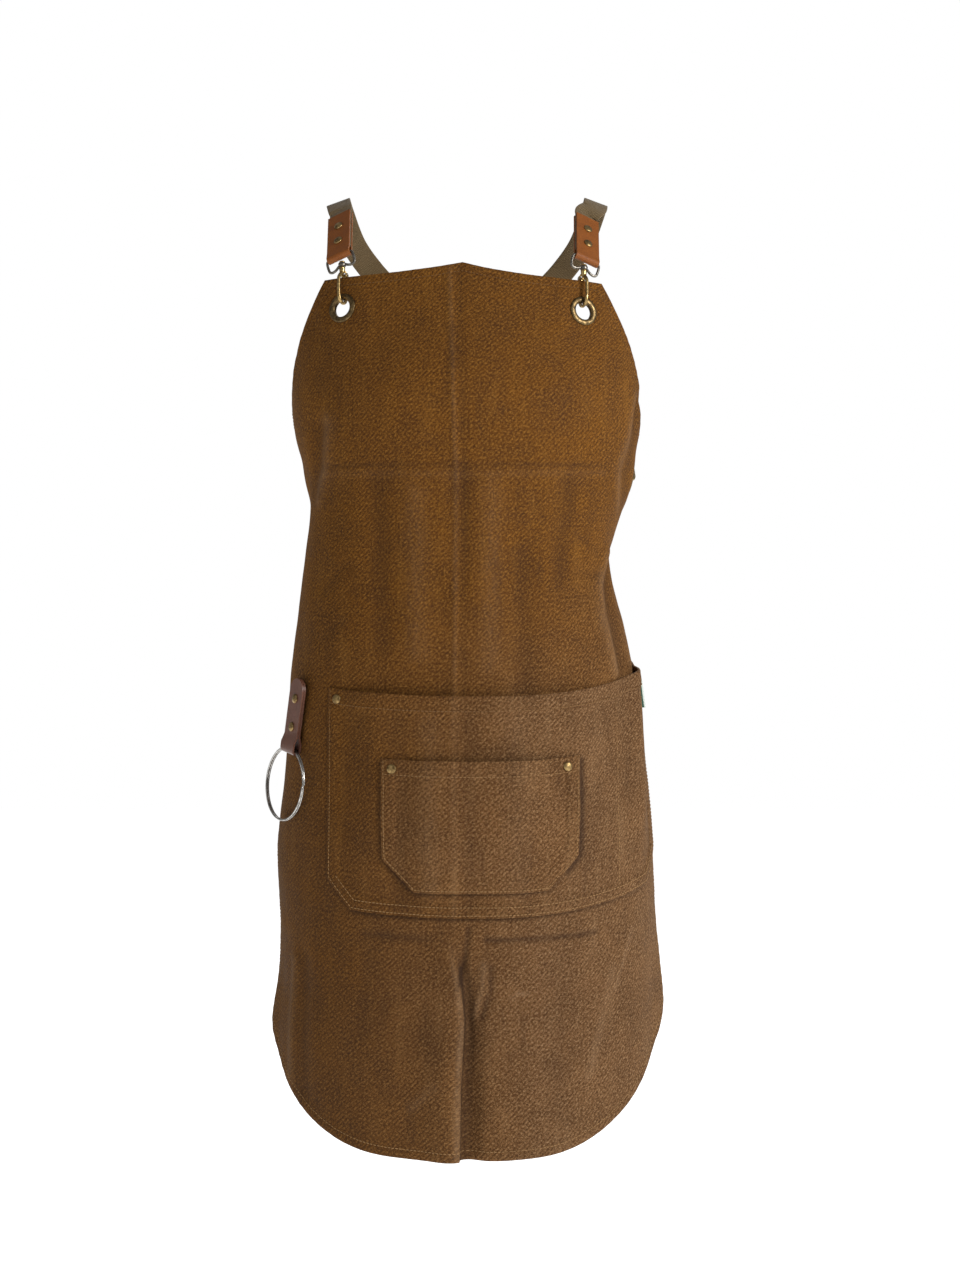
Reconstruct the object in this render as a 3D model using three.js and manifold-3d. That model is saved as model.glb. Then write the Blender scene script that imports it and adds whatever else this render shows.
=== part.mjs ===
// Butcher apron of waxed canvas with cross-back straps, snap hooks, pockets and a towel ring.
// Millimetres, +Z up. The wearer faces -Y. The origin is the point between the two strap tops,
// where the straps lie over the wearer's shoulders.
import * as THREE from 'three';
import { mergeVertices } from 'three/addons/utils/BufferGeometryUtils.js';
import Module from 'manifold-3d';

const wasm = await Module();
wasm.setup();

// ---------------------------------------------------------------- driving dimensions
const GAP = 0.3; // clearance between neighbouring pieces
const CANVAS = 1.2; // thickness of the waxed canvas

// The panel as it is cut flat: u runs across from the centre line, v down from the bib's top edge.
const PANEL_LENGTH = 850;
const PANEL_HALF = 250;
const BIB_HALF = 147;
const BIB_CORNER = 8; // the cut corner of the bib
const ARMHOLE_END = 185; // v of the waist corner
const ARMHOLE_BOW = 22;
const HEM_START = 758; // v where the rounded hem leaves the side edge
const HEM_FLAT_HALF = 70;
const PANEL_SHIFT = -4; // the centre line hangs this far from the wearer's middle
const PANEL_TOP = -79; // height of the bib's top edge

// The shape that the cloth hangs on: height, half width to the left and right, depth.
const FORM = [
  [-930, 186, 188, 125],
  [-830, 188, 189, 125],
  [-770, 183, 187, 124],
  [-650, 188, 184, 124],
  [-560, 180, 175, 118],
  [-480, 176, 166, 110],
  [-430, 170, 157, 104],
  [-360, 161, 142, 99],
  [-295, 156, 159, 105],
  [-235, 171, 171, 115],
  [-190, 174, 174, 118],
  [-120, 172, 170, 100],
  [-40, 170, 168, 78],
];

const POCKET = { left: -134, right: 230, top: 415, bottom: 622, chamfer: 26 };
const POCKET_DIVIDER = 161; // the stitched line between the pocket and its tool slot
const SMALL_POCKET = { left: -74, right: 110, top: 476, bottom: 599, chamfer: 29 };

const EYELET = { hole: 8.7, barrel: 9.6, flange: 14.5, front: { u: 120, v: 32 }, side: { u: 226, v: 209 } };
const RIVET = { head: 4.6, height: 1.9, shank: 1.5, hole: 1.8, cap: 3.8, play: 1.2 };

const STRAP_WIDTH = 25;
const STRAP = 1.6; // thickness of the webbing
const LEATHER = 1.8;
const TAB_LENGTH = 66;
const TAB_RIVETS = [22, 46];

// The snap hook, measured along its own axis from the swivel: bow above, hook below.
const BOW = { halfWidth: 14.2, height: 12, wire: 1.3, drop: 1.5 };
const COLLAR = { bottom: 0.3, top: 3.9, radius: 3.7, hole: 2.2 };
const HOOK = { wire: 1.7, length: 37, halfLoop: 6.5, mouthTop: 18, reach: 42.6 };
const GATE = { across: -4.6, down: 7.6, bar: 1.3, knuckle: 1.7, pin: 0.8, pinHole: 1.1 };

const RING = { outer: 37, wire: 1.3, halfHeight: 1.9 };
const RING_TAB = { u: -179, top: 413, rivets: [20, 48], length: 70, width: 25 };

// ---------------------------------------------------------------- materials
const finish = (color, roughness, metalness) => new THREE.MeshStandardMaterial({ color, roughness, metalness });
const CANVAS_BROWN = 0x6b4420;
const WEBBING_OLIVE = 0x5c4a28;
const LEATHER_TAN = 0x8a3f12;
const LEATHER_BROWN = 0x5a2c1c;
const BRASS = 0x6e5a34;
const STEEL = 0xb9b4aa;
const GUNMETAL = 0x4d4740;

const apron = new THREE.Group();

function add(name, geometry, material) {
  const mesh = new THREE.Mesh(geometry, material);
  mesh.name = name;
  apron.add(mesh);
}

// ---------------------------------------------------------------- booleans
function solidOf(geometry) {
  const bare = geometry.clone();
  bare.deleteAttribute('normal');
  bare.deleteAttribute('uv');
  const merged = mergeVertices(bare, 1e-4);
  const vertProperties = new Float32Array(merged.attributes.position.array);
  const triVerts = new Uint32Array(merged.index.array);
  return new wasm.Manifold(new wasm.Mesh({ numProp: 3, vertProperties, triVerts }));
}

function geometryOf(solid) {
  const mesh = solid.getMesh();
  const geometry = new THREE.BufferGeometry();
  geometry.setAttribute('position', new THREE.BufferAttribute(new Float32Array(mesh.vertProperties), 3));
  geometry.setIndex(new THREE.BufferAttribute(new Uint32Array(mesh.triVerts), 1));
  return geometry;
}

function cut(geometry, cutters) {
  let solid = solidOf(geometry);
  for (const cutter of cutters) solid = solid.subtract(solidOf(cutter));
  return geometryOf(solid);
}

function join(geometries) {
  let solid = solidOf(geometries[0]);
  for (const geometry of geometries.slice(1)) solid = solid.add(solidOf(geometry));
  return geometryOf(solid);
}

// ---------------------------------------------------------------- small maths
const vec = (x, y, z) => new THREE.Vector3(x, y, z);

function smooth(low, high, value) {
  const t = Math.min(Math.max((value - low) / (high - low), 0), 1);
  return t * t * (3 - 2 * t);
}

// A smooth curve through the form's rows, for one of its columns.
function formAt(column, z) {
  let i = FORM.findIndex((row) => row[0] > z) - 1;
  if (i < 0) i = z <= FORM[0][0] ? 0 : FORM.length - 2;
  const slope = (k) => {
    const low = FORM[Math.max(k - 1, 0)];
    const high = FORM[Math.min(k + 1, FORM.length - 1)];
    return (high[column] - low[column]) / (high[0] - low[0]);
  };
  const [a, b] = [FORM[i], FORM[i + 1]];
  const span = b[0] - a[0];
  const t = Math.min(Math.max((z - a[0]) / span, 0), 1);
  const rise = (t ** 3 - 2 * t ** 2 + t) * slope(i) + (t ** 3 - t ** 2) * slope(i + 1);
  return (2 * t ** 3 - 3 * t ** 2 + 1) * a[column] + (3 * t ** 2 - 2 * t ** 3) * b[column] + span * rise;
}

// The angle round an ellipse, from its front, at which the way round it is arc long.
const GAUSS = [[-0.9061798, 0.2369269], [-0.5384693, 0.4786287], [0, 0.5688889],
  [0.5384693, 0.4786287], [0.9061798, 0.2369269]];

function angleAtArc(a, b, arc) {
  const speed = (t) => Math.hypot(a * Math.cos(t), b * Math.sin(t));
  let angle = arc / a;
  for (let i = 0; i < 6; i += 1) {
    const length = GAUSS.reduce((sum, [x, w]) => sum + w * speed(angle * (x + 1) / 2), 0) * angle / 2;
    angle -= (length - arc) / speed(angle);
  }
  return angle;
}

// ---------------------------------------------------------------- the hanging cloth
// How far a point of the cloth hangs above or below its level place.
function lift(u, v) {
  const droop = (u < 0 ? 12.5 : 17) * (1 - Math.exp(-Math.abs(u) / 60)) * (1 - smooth(0, 140, v));
  const rise = u < 0 ? 9 * (u / 140) ** 2 : 33 * (Math.max(u - 30, 0) / 200) ** 2;
  return rise * smooth(120, 420, v) - droop;
}

// How far the cloth stands off the form: the skirt's deep fold, and the flare of its side edges.
function relief(u, v) {
  const below = smooth(640, 760, v);
  const ridge = 7 * Math.exp(-(((u + 14) / 20) ** 2));
  const valley = -9 * Math.exp(-(((u - 8) / 11) ** 2));
  const flare = 7 * smooth(215, 250, Math.abs(u)) * smooth(650, 750, v);
  return below * (ridge + valley) + flare;
}

function bodyPoint(u, v) {
  const z = PANEL_TOP - v + lift(u, v);
  const across = u + PANEL_SHIFT;
  const a = formAt(across < 0 ? 1 : 2, z);
  const b = formAt(3, z);
  const angle = angleAtArc(a, b, Math.abs(across)) * Math.sign(across);
  const out = vec(Math.sin(angle) / a, -Math.cos(angle) / b, 0).normalize();
  return vec(a * Math.sin(angle), -b * Math.cos(angle), z).addScaledVector(out, relief(u, v));
}

// The point and directions of the cloth at (u, v): across, down and out.
function frameOf(surface, u, v) {
  const across = surface(u + 0.5, v).sub(surface(u - 0.5, v)).normalize();
  const down = surface(u, v + 0.5).sub(surface(u, v - 0.5));
  down.addScaledVector(across, -down.dot(across)).normalize();
  return { point: surface(u, v), across, down, out: down.clone().cross(across).normalize() };
}

// The cloth is pressed flat under each eyelet.
const SEATS = [-1, 1].flatMap((side) => [EYELET.front, EYELET.side].map(({ u, v }) => (
  { u: side * u, v, side, ...frameOf(bodyPoint, side * u, v) })));

function clothPoint(u, v) {
  const point = bodyPoint(u, v);
  for (const seat of SEATS) {
    const [du, dv] = [u - seat.u, v - seat.v];
    const share = 1 - smooth(17, 38, Math.hypot(du, dv));
    const flat = seat.point.clone().addScaledVector(seat.across, du).addScaledVector(seat.down, dv);
    point.lerp(flat, share);
  }
  return point;
}

const clothFrame = (u, v) => frameOf(clothPoint, u, v);

function clothAt(u, v, offset) {
  const frame = clothFrame(u, v);
  return frame.point.addScaledVector(frame.out, offset);
}

// ---------------------------------------------------------------- sheets and ribbons
// A closed sheet from a grid of outer points and the inner points behind them.
function sheetSolid(rows, columns, outer, inner) {
  const positions = [];
  const index = [];
  const at = (side, i, j) => (side * (rows + 1) + i) * (columns + 1) + j;
  for (const side of [outer, inner]) {
    for (let i = 0; i <= rows; i += 1) {
      for (let j = 0; j <= columns; j += 1) positions.push(...side(i, j).toArray());
    }
  }
  const quad = (a, b, c, d) => index.push(a, b, c, a, c, d);
  for (let i = 0; i < rows; i += 1) {
    for (let j = 0; j < columns; j += 1) {
      quad(at(0, i, j), at(0, i + 1, j), at(0, i + 1, j + 1), at(0, i, j + 1));
      quad(at(1, i, j), at(1, i, j + 1), at(1, i + 1, j + 1), at(1, i + 1, j));
    }
    quad(at(0, i, 0), at(1, i, 0), at(1, i + 1, 0), at(0, i + 1, 0));
    quad(at(0, i, columns), at(0, i + 1, columns), at(1, i + 1, columns), at(1, i, columns));
  }
  for (let j = 0; j < columns; j += 1) {
    quad(at(0, 0, j), at(0, 0, j + 1), at(1, 0, j + 1), at(1, 0, j));
    quad(at(0, rows, j), at(1, rows, j), at(1, rows, j + 1), at(0, rows, j + 1));
  }
  const geometry = new THREE.BufferGeometry();
  geometry.setAttribute('position', new THREE.Float32BufferAttribute(positions, 3));
  geometry.setIndex(index);
  return geometry;
}

// A piece of canvas on the apron, cut to left(v) and right(v), standing off the panel by offset(u, v).
function canvasPiece(levels, columns, left, right, offset) {
  const place = (i, j, side) => {
    const v = levels[i];
    const u = left(v) + (right(v) - left(v)) * j / columns;
    return clothAt(u, v, offset(u, v) + side * CANVAS / 2);
  };
  return sheetSolid(levels.length - 1, columns, (i, j) => place(i, j, 1), (i, j) => place(i, j, -1));
}

function levelsBetween(low, high, count) {
  return Array.from({ length: count + 1 }, (_, i) => low + (high - low) * i / count);
}

// ---------------------------------------------------------------- turned and placed pieces
// Moves a geometry from its own axes to the given ones at a point.
function placed(geometry, point, x, y, z) {
  return geometry.applyMatrix4(new THREE.Matrix4().makeBasis(x, y, z).setPosition(point));
}

// Places a turned piece, made round +Y, with its axis along a direction.
function placedAlong(geometry, point, direction) {
  const turn = new THREE.Quaternion().setFromUnitVectors(vec(0, 1, 0), direction);
  return geometry.applyQuaternion(turn).translate(point.x, point.y, point.z);
}

function turned(profile, segments) {
  return new THREE.LatheGeometry(profile.map(([r, y]) => new THREE.Vector2(r, y)), segments);
}

function drill(point, direction, radius, length, segments = 8) {
  return placedAlong(new THREE.CylinderGeometry(radius, radius, length, segments), point, direction);
}

function extruded(points, depth) {
  const shape = new THREE.Shape(points.map(([x, y]) => new THREE.Vector2(x, y)));
  return new THREE.ExtrudeGeometry(shape, { depth, bevelEnabled: false }).translate(0, 0, -depth / 2);
}

function wire(points, radius, steps, sides) {
  const path = new THREE.CatmullRomCurve3(points, false, 'centripetal');
  const section = new THREE.Shape(levelsBetween(0, 2 * Math.PI, sides).slice(0, -1).map((angle) => (
    new THREE.Vector2(radius * Math.cos(angle), radius * Math.sin(angle)))));
  return new THREE.ExtrudeGeometry(section, { steps, extrudePath: path, bevelEnabled: false });
}

// A rivet through layers that lie between two offsets along its axis.
function rivet(point, direction, bottom, top, play = GAP) {
  const [low, high] = [bottom - play, top + GAP];
  return placedAlong(turned([
    [0, low - 0.9], [RIVET.cap, low - 0.7], [RIVET.cap, low], [RIVET.shank, low],
    [RIVET.shank, high], [RIVET.head, high], [RIVET.head * 0.75, high + RIVET.height * 0.75],
    [0, high + RIVET.height],
  ], 8), point, direction);
}

// ---------------------------------------------------------------- panel
function halfWidth(v) {
  if (v < BIB_CORNER) return BIB_HALF - 6 * (1 - v / BIB_CORNER);
  if (v < ARMHOLE_END) {
    const t = (v - BIB_CORNER) / (ARMHOLE_END - BIB_CORNER);
    return BIB_HALF + (PANEL_HALF - BIB_HALF) * t + ARMHOLE_BOW * t * (1 - t);
  }
  if (v < HEM_START) return PANEL_HALF;
  const [run, rise] = [PANEL_HALF - HEM_FLAT_HALF, PANEL_LENGTH - HEM_START];
  const radius = (run ** 2 + rise ** 2) / (2 * rise);
  return HEM_FLAT_HALF + Math.sqrt(radius ** 2 - (radius - PANEL_LENGTH + v) ** 2);
}

const pocketRivets = [
  { name: 'pocket_rivet_left', u: -124, v: 425, raised: 0 },
  { name: 'pocket_rivet_right', u: 219, v: 425, raised: 0.9 },
];
const smallPocketRivets = [
  { name: 'small_pocket_rivet_left', u: -63.5, v: 485 },
  { name: 'small_pocket_rivet_right', u: 97, v: 485 },
];
const ringTab = clothFrame(RING_TAB.u, RING_TAB.top + RING_TAB.length / 2);

const rivetCut = (u, v) => {
  const { point, out } = clothFrame(u, v);
  return drill(point, out, RIVET.hole, 40);
};

function panel() {
  const levels = [0, BIB_CORNER, ...levelsBetween(BIB_CORNER, ARMHOLE_END, 6).slice(1),
    ...levelsBetween(ARMHOLE_END, HEM_START, 11).slice(1), 790, 815, 835, PANEL_LENGTH];
  const sheet = canvasPiece(levels, 22, (v) => -halfWidth(v), halfWidth, () => 0);
  const cutters = [];
  for (const seat of SEATS) {
    const seatAt = (offset) => seat.point.clone().addScaledVector(seat.out, offset);
    cutters.push(drill(seat.point, seat.out, EYELET.barrel + GAP, 10, 16));
    const recess = 3;
    for (const side of [-1, 1]) {
      const middle = seatAt(side * (CANVAS / 2 + recess / 2 + 0.02));
      cutters.push(drill(middle, seat.out, EYELET.flange + GAP, recess, 16));
    }
  }
  for (const { u, v } of pocketRivets) cutters.push(rivetCut(u, v));
  for (const along of RING_TAB.rivets) cutters.push(drill(ringTabPoint(along), ringTab.out, RIVET.hole, 20));
  add('body_panel', cut(sheet, cutters), finish(CANVAS_BROWN, 0.85, 0));
}

// ---------------------------------------------------------------- pockets
// Rounded swell of a pocket: nothing at its stitched sides and bottom, most at its mouth.
const SEAM = 12;

function swell(u, v, left, right, top, bottom, height) {
  const half = (right - left) / 2;
  const inward = half - Math.abs(u - (left + right) / 2);
  const down = 1 - smooth(0.5, 1, (v - top) / (bottom - top));
  return height * smooth(SEAM, Math.min(60, half), inward) * down;
}

// A pocket's edges are folded under, so it lies twice its thickness above the cloth behind it.
const SEWN = 2 * CANVAS;

function pocketOffset(u, v) {
  const { left, right, top, bottom } = POCKET;
  if (u < POCKET_DIVIDER) return SEWN + swell(u, v, left, POCKET_DIVIDER, top, bottom, 8);
  return SEWN + swell(u, v, POCKET_DIVIDER, right, top, bottom, 7);
}

function smallPocketOffset(u, v) {
  const { left, right, top, bottom } = SMALL_POCKET;
  return pocketOffset(u, v) + SEWN + swell(u, v, left, right, top, bottom, 6.5);
}

function pocketSheet(size, columns, rows, offset) {
  const { left, right, top, bottom, chamfer } = size;
  const corner = (v) => Math.max(v - (bottom - chamfer), 0);
  const levels = [...levelsBetween(top, bottom - chamfer, rows), bottom];
  return canvasPiece(levels, columns, (v) => left + corner(v), (v) => right - corner(v), offset);
}

function pockets() {
  const canvas = finish(CANVAS_BROWN, 0.85, 0);
  const large = pocketSheet(POCKET, 20, 6, pocketOffset);
  const cuts = [...pocketRivets, ...smallPocketRivets].map(({ u, v }) => rivetCut(u, v));
  add('front_pocket', cut(large, cuts), canvas);
  const small = pocketSheet(SMALL_POCKET, 10, 5, smallPocketOffset);
  add('small_pocket', cut(small, smallPocketRivets.map(({ u, v }) => rivetCut(u, v))), canvas);
  for (const { name, u, v, raised } of pocketRivets) {
    const { point, out } = clothFrame(u, v);
    const top = pocketOffset(u, v) + CANVAS / 2 + raised;
    add(name, rivet(point, out, -CANVAS / 2, top, RIVET.play), finish(BRASS, 0.4, 1));
  }
  for (const { name, u, v } of smallPocketRivets) {
    const { point, out } = clothFrame(u, v);
    const inner = pocketOffset(u, v) - CANVAS / 2;
    const top = smallPocketOffset(u, v) + CANVAS / 2;
    add(name, rivet(point, out, inner, top), finish(BRASS, 0.4, 1));
  }
}

// The woven tag sewn into the pocket's right-hand seam.
function labelTag() {
  const { point, out } = clothFrame(POCKET.right, 447);
  const seam = clothPoint(POCKET.right, 462).sub(clothPoint(POCKET.right, 432)).normalize();
  const across = seam.clone().cross(out).negate().normalize();
  if (across.dot(vec(0, 1, 0)) < 0) across.negate();
  const lean = across.clone().multiplyScalar(0.8).addScaledVector(out, 0.6).normalize();
  const middle = point.clone().addScaledVector(across, 1.4).addScaledVector(out, 1.5);
  middle.addScaledVector(lean, 5.5);
  const tag = new THREE.BoxGeometry(10, 30, 0.8);
  add('label_tag', placed(tag, middle, lean, seam, lean.clone().cross(seam)), finish(0x1f3a2c, 0.9, 0));
}

// ---------------------------------------------------------------- eyelets
function eyelets() {
  for (const seat of SEATS) {
    const name = `${seat.v < ARMHOLE_END ? 'bib' : 'waist'}_eyelet_${seat.side < 0 ? 'left' : 'right'}`;
    const face = CANVAS / 2 + GAP;
    const { hole, barrel, flange } = EYELET;
    add(name, placedAlong(turned([
      [hole, -face - 1.5], [barrel, -face - 1.5], [barrel, face], [flange, face],
      [flange - 0.5, face + 0.9], [flange - 3, face + 1.6], [barrel, face + 1.3], [hole, face + 0.3],
      [hole, -face - 1.5],
    ], 16), seat.point, seat.out), finish(BRASS, 0.4, 1));
    add(`${name}_washer`, placedAlong(turned([
      [barrel + GAP, -face - 1.2], [flange - 0.4, -face - 0.7], [flange - 0.4, -face],
      [barrel + GAP, -face], [barrel + GAP, -face - 1.2],
    ], 16), seat.point, seat.out), finish(BRASS, 0.4, 1));
  }
}

// ---------------------------------------------------------------- folded leather tabs
// A strip folded round a bar at its foot: along runs up from the bar, out faces away from the body.
function foldedTab(foot, along, out, { length, width, barSpace, layerSpace, hollow }) {
  const blend = hollow + 8;
  const arc = (radius, from, to) => levelsBetween(from, to, 6).map((angle) => (
    [radius * Math.cos(angle), radius * Math.sin(angle)]));
  const [inner, outer] = [layerSpace, layerSpace + LEATHER];
  const profile = [
    [length, outer], [blend, outer], [hollow, barSpace + LEATHER],
    ...arc(barSpace + LEATHER, Math.PI / 2, 3 * Math.PI / 2), [hollow, -barSpace - LEATHER],
    [blend, -outer], [length, -outer], [length, -inner], [blend, -inner], [hollow, -barSpace],
    ...arc(barSpace, 3 * Math.PI / 2, Math.PI / 2), [hollow, barSpace], [blend, inner], [length, inner],
  ];
  const side = along.clone().cross(out);
  return placed(extruded(profile, width), foot, along, out, side);
}

const STRAP_TAB = {
  length: TAB_LENGTH, width: STRAP_WIDTH, barSpace: BOW.wire + 0.7, layerSpace: STRAP / 2 + 0.6, hollow: 1,
};

// ---------------------------------------------------------------- snap hooks
// Each hook hangs from the swivel in its bow: x across the hook, y out of the cloth, z up the axis.
function hookFrameAt(seat, aim) {
  const up = seat.down.clone().multiplyScalar(-Math.cos(aim));
  up.addScaledVector(seat.across, seat.side * Math.sin(aim)).normalize();
  const swivel = seat.point.clone().addScaledVector(up, HOOK.reach);
  return { swivel, x: seat.out.clone().cross(up).normalize(), y: seat.out.clone(), z: up };
}

function bowPiece(frame, barAxis) {
  const upward = frame.z.clone().addScaledVector(barAxis, -frame.z.dot(barAxis)).normalize();
  const { halfWidth: half, height, wire: radius, drop } = BOW;
  const rightSide = [[2.9, 2.1], [6.5, -0.4], [10.5, -drop], [13.4, -drop + 1.2], [half, 2.4],
    [half, height - 2.2], [half - 1, height - 0.5], [half - 3, height]];
  const leftSide = rightSide.map(([x, z]) => [-x, z]).reverse();
  const route = [...rightSide, [0, height], ...leftSide].map(([x, z]) => vec(x, 0, z));
  const loop = placed(wire(route, radius, 24, 6), frame.swivel, barAxis, upward.clone().cross(barAxis), upward);
  const collar = turned([[COLLAR.hole, COLLAR.bottom], [COLLAR.radius, COLLAR.bottom],
    [COLLAR.radius, COLLAR.top], [COLLAR.hole, COLLAR.top], [COLLAR.hole, COLLAR.bottom]], 10);
  return join([loop, placedAlong(collar, frame.swivel, frame.z)]);
}

function hookPieces(frame) {
  const { wire: radius, length, halfLoop, mouthTop } = HOOK;
  const route = [[0, 3.4], [0.9, 5.8], [3.8, 8.6], [halfLoop - 0.4, 12.5], [halfLoop, 18], [halfLoop, 30],
    [4.6, length - 2.2], [0, length], [-4.6, length - 2.2], [-halfLoop, 30], [-halfLoop, mouthTop]];
  const loop = wire(route.map(([out, down]) => vec(0, out, -down)), radius, 16, 6);
  const stem = turned([[0, -7.4], [2.5, -7], [2.7, -4], [3, -1.2], [3, 0], [1.6, 0], [1.6, COLLAR.top + GAP],
    [2.9, COLLAR.top + GAP], [2.6, COLLAR.top + 1.7], [0, COLLAR.top + 2]], 8).rotateX(Math.PI / 2);
  const cheeks = [-1, 1].map((side) => (
    new THREE.BoxGeometry(1, 7, 4.6).translate(side * 2.5, GATE.across + 1.6, -GATE.down + 0.5)));
  const pinAt = vec(0, GATE.across, -GATE.down);
  const body = cut(join([loop, stem, ...cheeks]), [drill(pinAt, vec(1, 0, 0), GATE.pinHole, 12)]);
  const knuckle = drill(pinAt, vec(1, 0, 0), GATE.knuckle, 3.4, 10);
  const barEnd = vec(0, -halfLoop, -(mouthTop - 0.6));
  const bar = wire([pinAt, barEnd.clone().add(pinAt).multiplyScalar(0.5), barEnd], GATE.bar, 2, 6);
  const gate = cut(join([knuckle, bar]), [drill(pinAt, vec(1, 0, 0), GATE.pinHole, 12)]);
  const pin = drill(pinAt, vec(1, 0, 0), GATE.pin, 6.6, 6);
  return [body, gate, pin].map((piece) => placed(piece, frame.swivel, frame.x, frame.y, frame.z));
}

// ---------------------------------------------------------------- straps
// The route of the strap that lies over the left shoulder, from its front tab to the right of the
// waist: points with the direction that the webbing faces. The other strap is its mirror image.
const SHOULDER_ROUTE = [
  [-127, -5, -9, -0.42, -0.35, 0.84],
  [-129.5, 13, 0, -0.33, 0.05, 0.94],
  [-127, 34, -8, -0.33, 0.45, 0.83],
  [-116, 60, -35, -0.3, 0.75, 0.6],
  [-98, 80, -58, -0.22, 0.9, 0.38],
  [-80, 87.5, -76.5, -0.22, 0.9, 0.38],
  [-62, 95, -95, -0.22, 0.9, 0.38],
  [-44, 102.5, -113.5, -0.22, 0.9, 0.38],
  [-26, 110, -132, -0.22, 0.9, 0.38],
];
const CROSSING = [0, 113, -160, 0, 1, 0.04];
const STRAP_OVER = 3; // one strap crosses this far outside the other
const SLIDER_AT = [-62, 95, -95];
const WAIST_ROUTE = [
  [40, 109.5, -180, 0.16, 0.98, 0],
  [78, 101, -200, 0.35, 0.93, 0],
];
const WAIST_TAB_AIM = [98, 96, -212]; // where the waist tabs point
const WAIST_TAB_OUT = [0.8, 0.6, 0];

function strapRoute(side, start, end) {
  const flip = ([x, y, z, nx, ny, nz]) => ({ at: vec(-side * x, y, z), out: vec(-side * nx, ny, nz) });
  const over = side > 0 ? STRAP_OVER : 0;
  const middle = flip(CROSSING);
  middle.at.y += over;
  const back = SHOULDER_ROUTE.map(flip);
  const waist = WAIST_ROUTE.map(flip);
  back.at(-1).at.y += over * 0.8;
  waist[0].at.y += over * 0.8;
  return [...start, ...back, middle, ...waist, ...end];
}

function ribbon(route, width, thickness, steps) {
  const path = new THREE.CatmullRomCurve3(route.map((stop) => stop.at), false, 'centripetal');
  const facing = new THREE.CatmullRomCurve3(route.map((stop) => stop.out), false, 'centripetal');
  const frames = levelsBetween(0, 1, steps).map((t) => {
    const along = path.getTangent(t);
    const across = facing.getPoint(t).cross(along).normalize();
    return { at: path.getPoint(t), across, out: along.clone().cross(across).normalize() };
  });
  const place = (i, j, face) => {
    const { at, across, out } = frames[i];
    return at.clone().addScaledVector(across, (j - 0.5) * width).addScaledVector(out, face * thickness / 2);
  };
  return sheetSolid(steps, 1, (i, j) => place(i, j, 1), (i, j) => place(i, j, -1));
}

// The front tabs lie up the wearer's shoulders, and the waist tabs along their sides.
const FRONT_AIM = 0.1;
const WAIST_AIM = 1.05;
const FRONT_TAB = { along: vec(-0.03, 0.68, 0.73), out: vec(-0.475, -0.65, 0.587) };

function tabFrame(seat) {
  const hook = hookFrameAt(seat, seat.v < ARMHOLE_END ? FRONT_AIM : WAIST_AIM);
  let along;
  let out;
  if (seat.v < ARMHOLE_END) {
    along = FRONT_TAB.along.clone();
    out = FRONT_TAB.out.clone();
    along.x *= -seat.side;
    out.x *= -seat.side;
  } else {
    along = vec(...WAIST_TAB_AIM);
    out = vec(...WAIST_TAB_OUT);
    along.x *= seat.side;
    out.x *= seat.side;
    along.sub(hook.swivel);
  }
  along.normalize();
  out.addScaledVector(along, -out.dot(along)).normalize();
  const barAxis = along.clone().cross(out).normalize();
  if (barAxis.dot(hook.x) < 0) barAxis.negate();
  const upward = hook.z.clone().addScaledVector(barAxis, -hook.z.dot(barAxis)).normalize();
  const foot = hook.swivel.clone().addScaledVector(upward, BOW.height);
  return { hook, along, out, barAxis, foot };
}

function strapEnd(seat, hidden) {
  const { along, out, foot } = tabFrame(seat);
  return hidden.map((distance) => ({ at: foot.clone().addScaledVector(along, distance), out: out.clone() }));
}

function straps() {
  const leather = finish(LEATHER_TAN, 0.55, 0);
  const ends = {};
  for (const seat of SEATS) {
    const front = seat.v < ARMHOLE_END;
    const where = `${front ? 'front' : 'waist'}_${seat.side < 0 ? 'left' : 'right'}`;
    const { hook, along, out, barAxis, foot } = tabFrame(seat);
    const rivets = TAB_RIVETS.map((distance) => foot.clone().addScaledVector(along, distance));
    const holes = () => rivets.map((point) => drill(point, out, RIVET.hole, 20));
    const tab = foldedTab(foot, along, out, STRAP_TAB);
    add(`${where}_tab`, cut(tab, holes()), leather);
    const grip = STRAP_TAB.layerSpace + LEATHER;
    rivets.forEach((point, i) => {
      add(`${where}_tab_rivet_${i + 1}`, rivet(point, out, -grip, grip), finish(BRASS, 0.4, 1));
    });
    add(`${where}_bow`, bowPiece(hook, barAxis), finish(GUNMETAL, 0.35, 1));
    const [body, gate, pin] = hookPieces(hook);
    add(`${where}_hook`, body, finish(BRASS, 0.35, 1));
    add(`${where}_gate`, gate, finish(BRASS, 0.35, 1));
    add(`${where}_gate_pin`, pin, finish(STEEL, 0.35, 1));
    ends[where] = holes;
  }
  const webbing = finish(WEBBING_OLIVE, 0.9, 0);
  const middle = vec(CROSSING[0], CROSSING[1], CROSSING[2]);
  const crossHole = drill(middle, vec(0, 1, 0), RIVET.hole, 30);
  for (const [side, name] of [[-1, 'left'], [1, 'right']]) {
    const front = SEATS.find((seat) => seat.side === side && seat.v < ARMHOLE_END);
    const waist = SEATS.find((seat) => seat.side === -side && seat.v > ARMHOLE_END);
    const inTab = [9, 30, 50, TAB_LENGTH + 1, TAB_LENGTH + 8];
    const route = strapRoute(side, strapEnd(front, inTab), strapEnd(waist, inTab.slice().reverse()));
    const holes = [...ends[`front_${name}`](), ...ends[`waist_${side < 0 ? 'right' : 'left'}`](), crossHole];
    add(`strap_over_${name}_shoulder`, cut(ribbon(route, STRAP_WIDTH, STRAP, 52), holes), webbing);
  }
}

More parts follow.
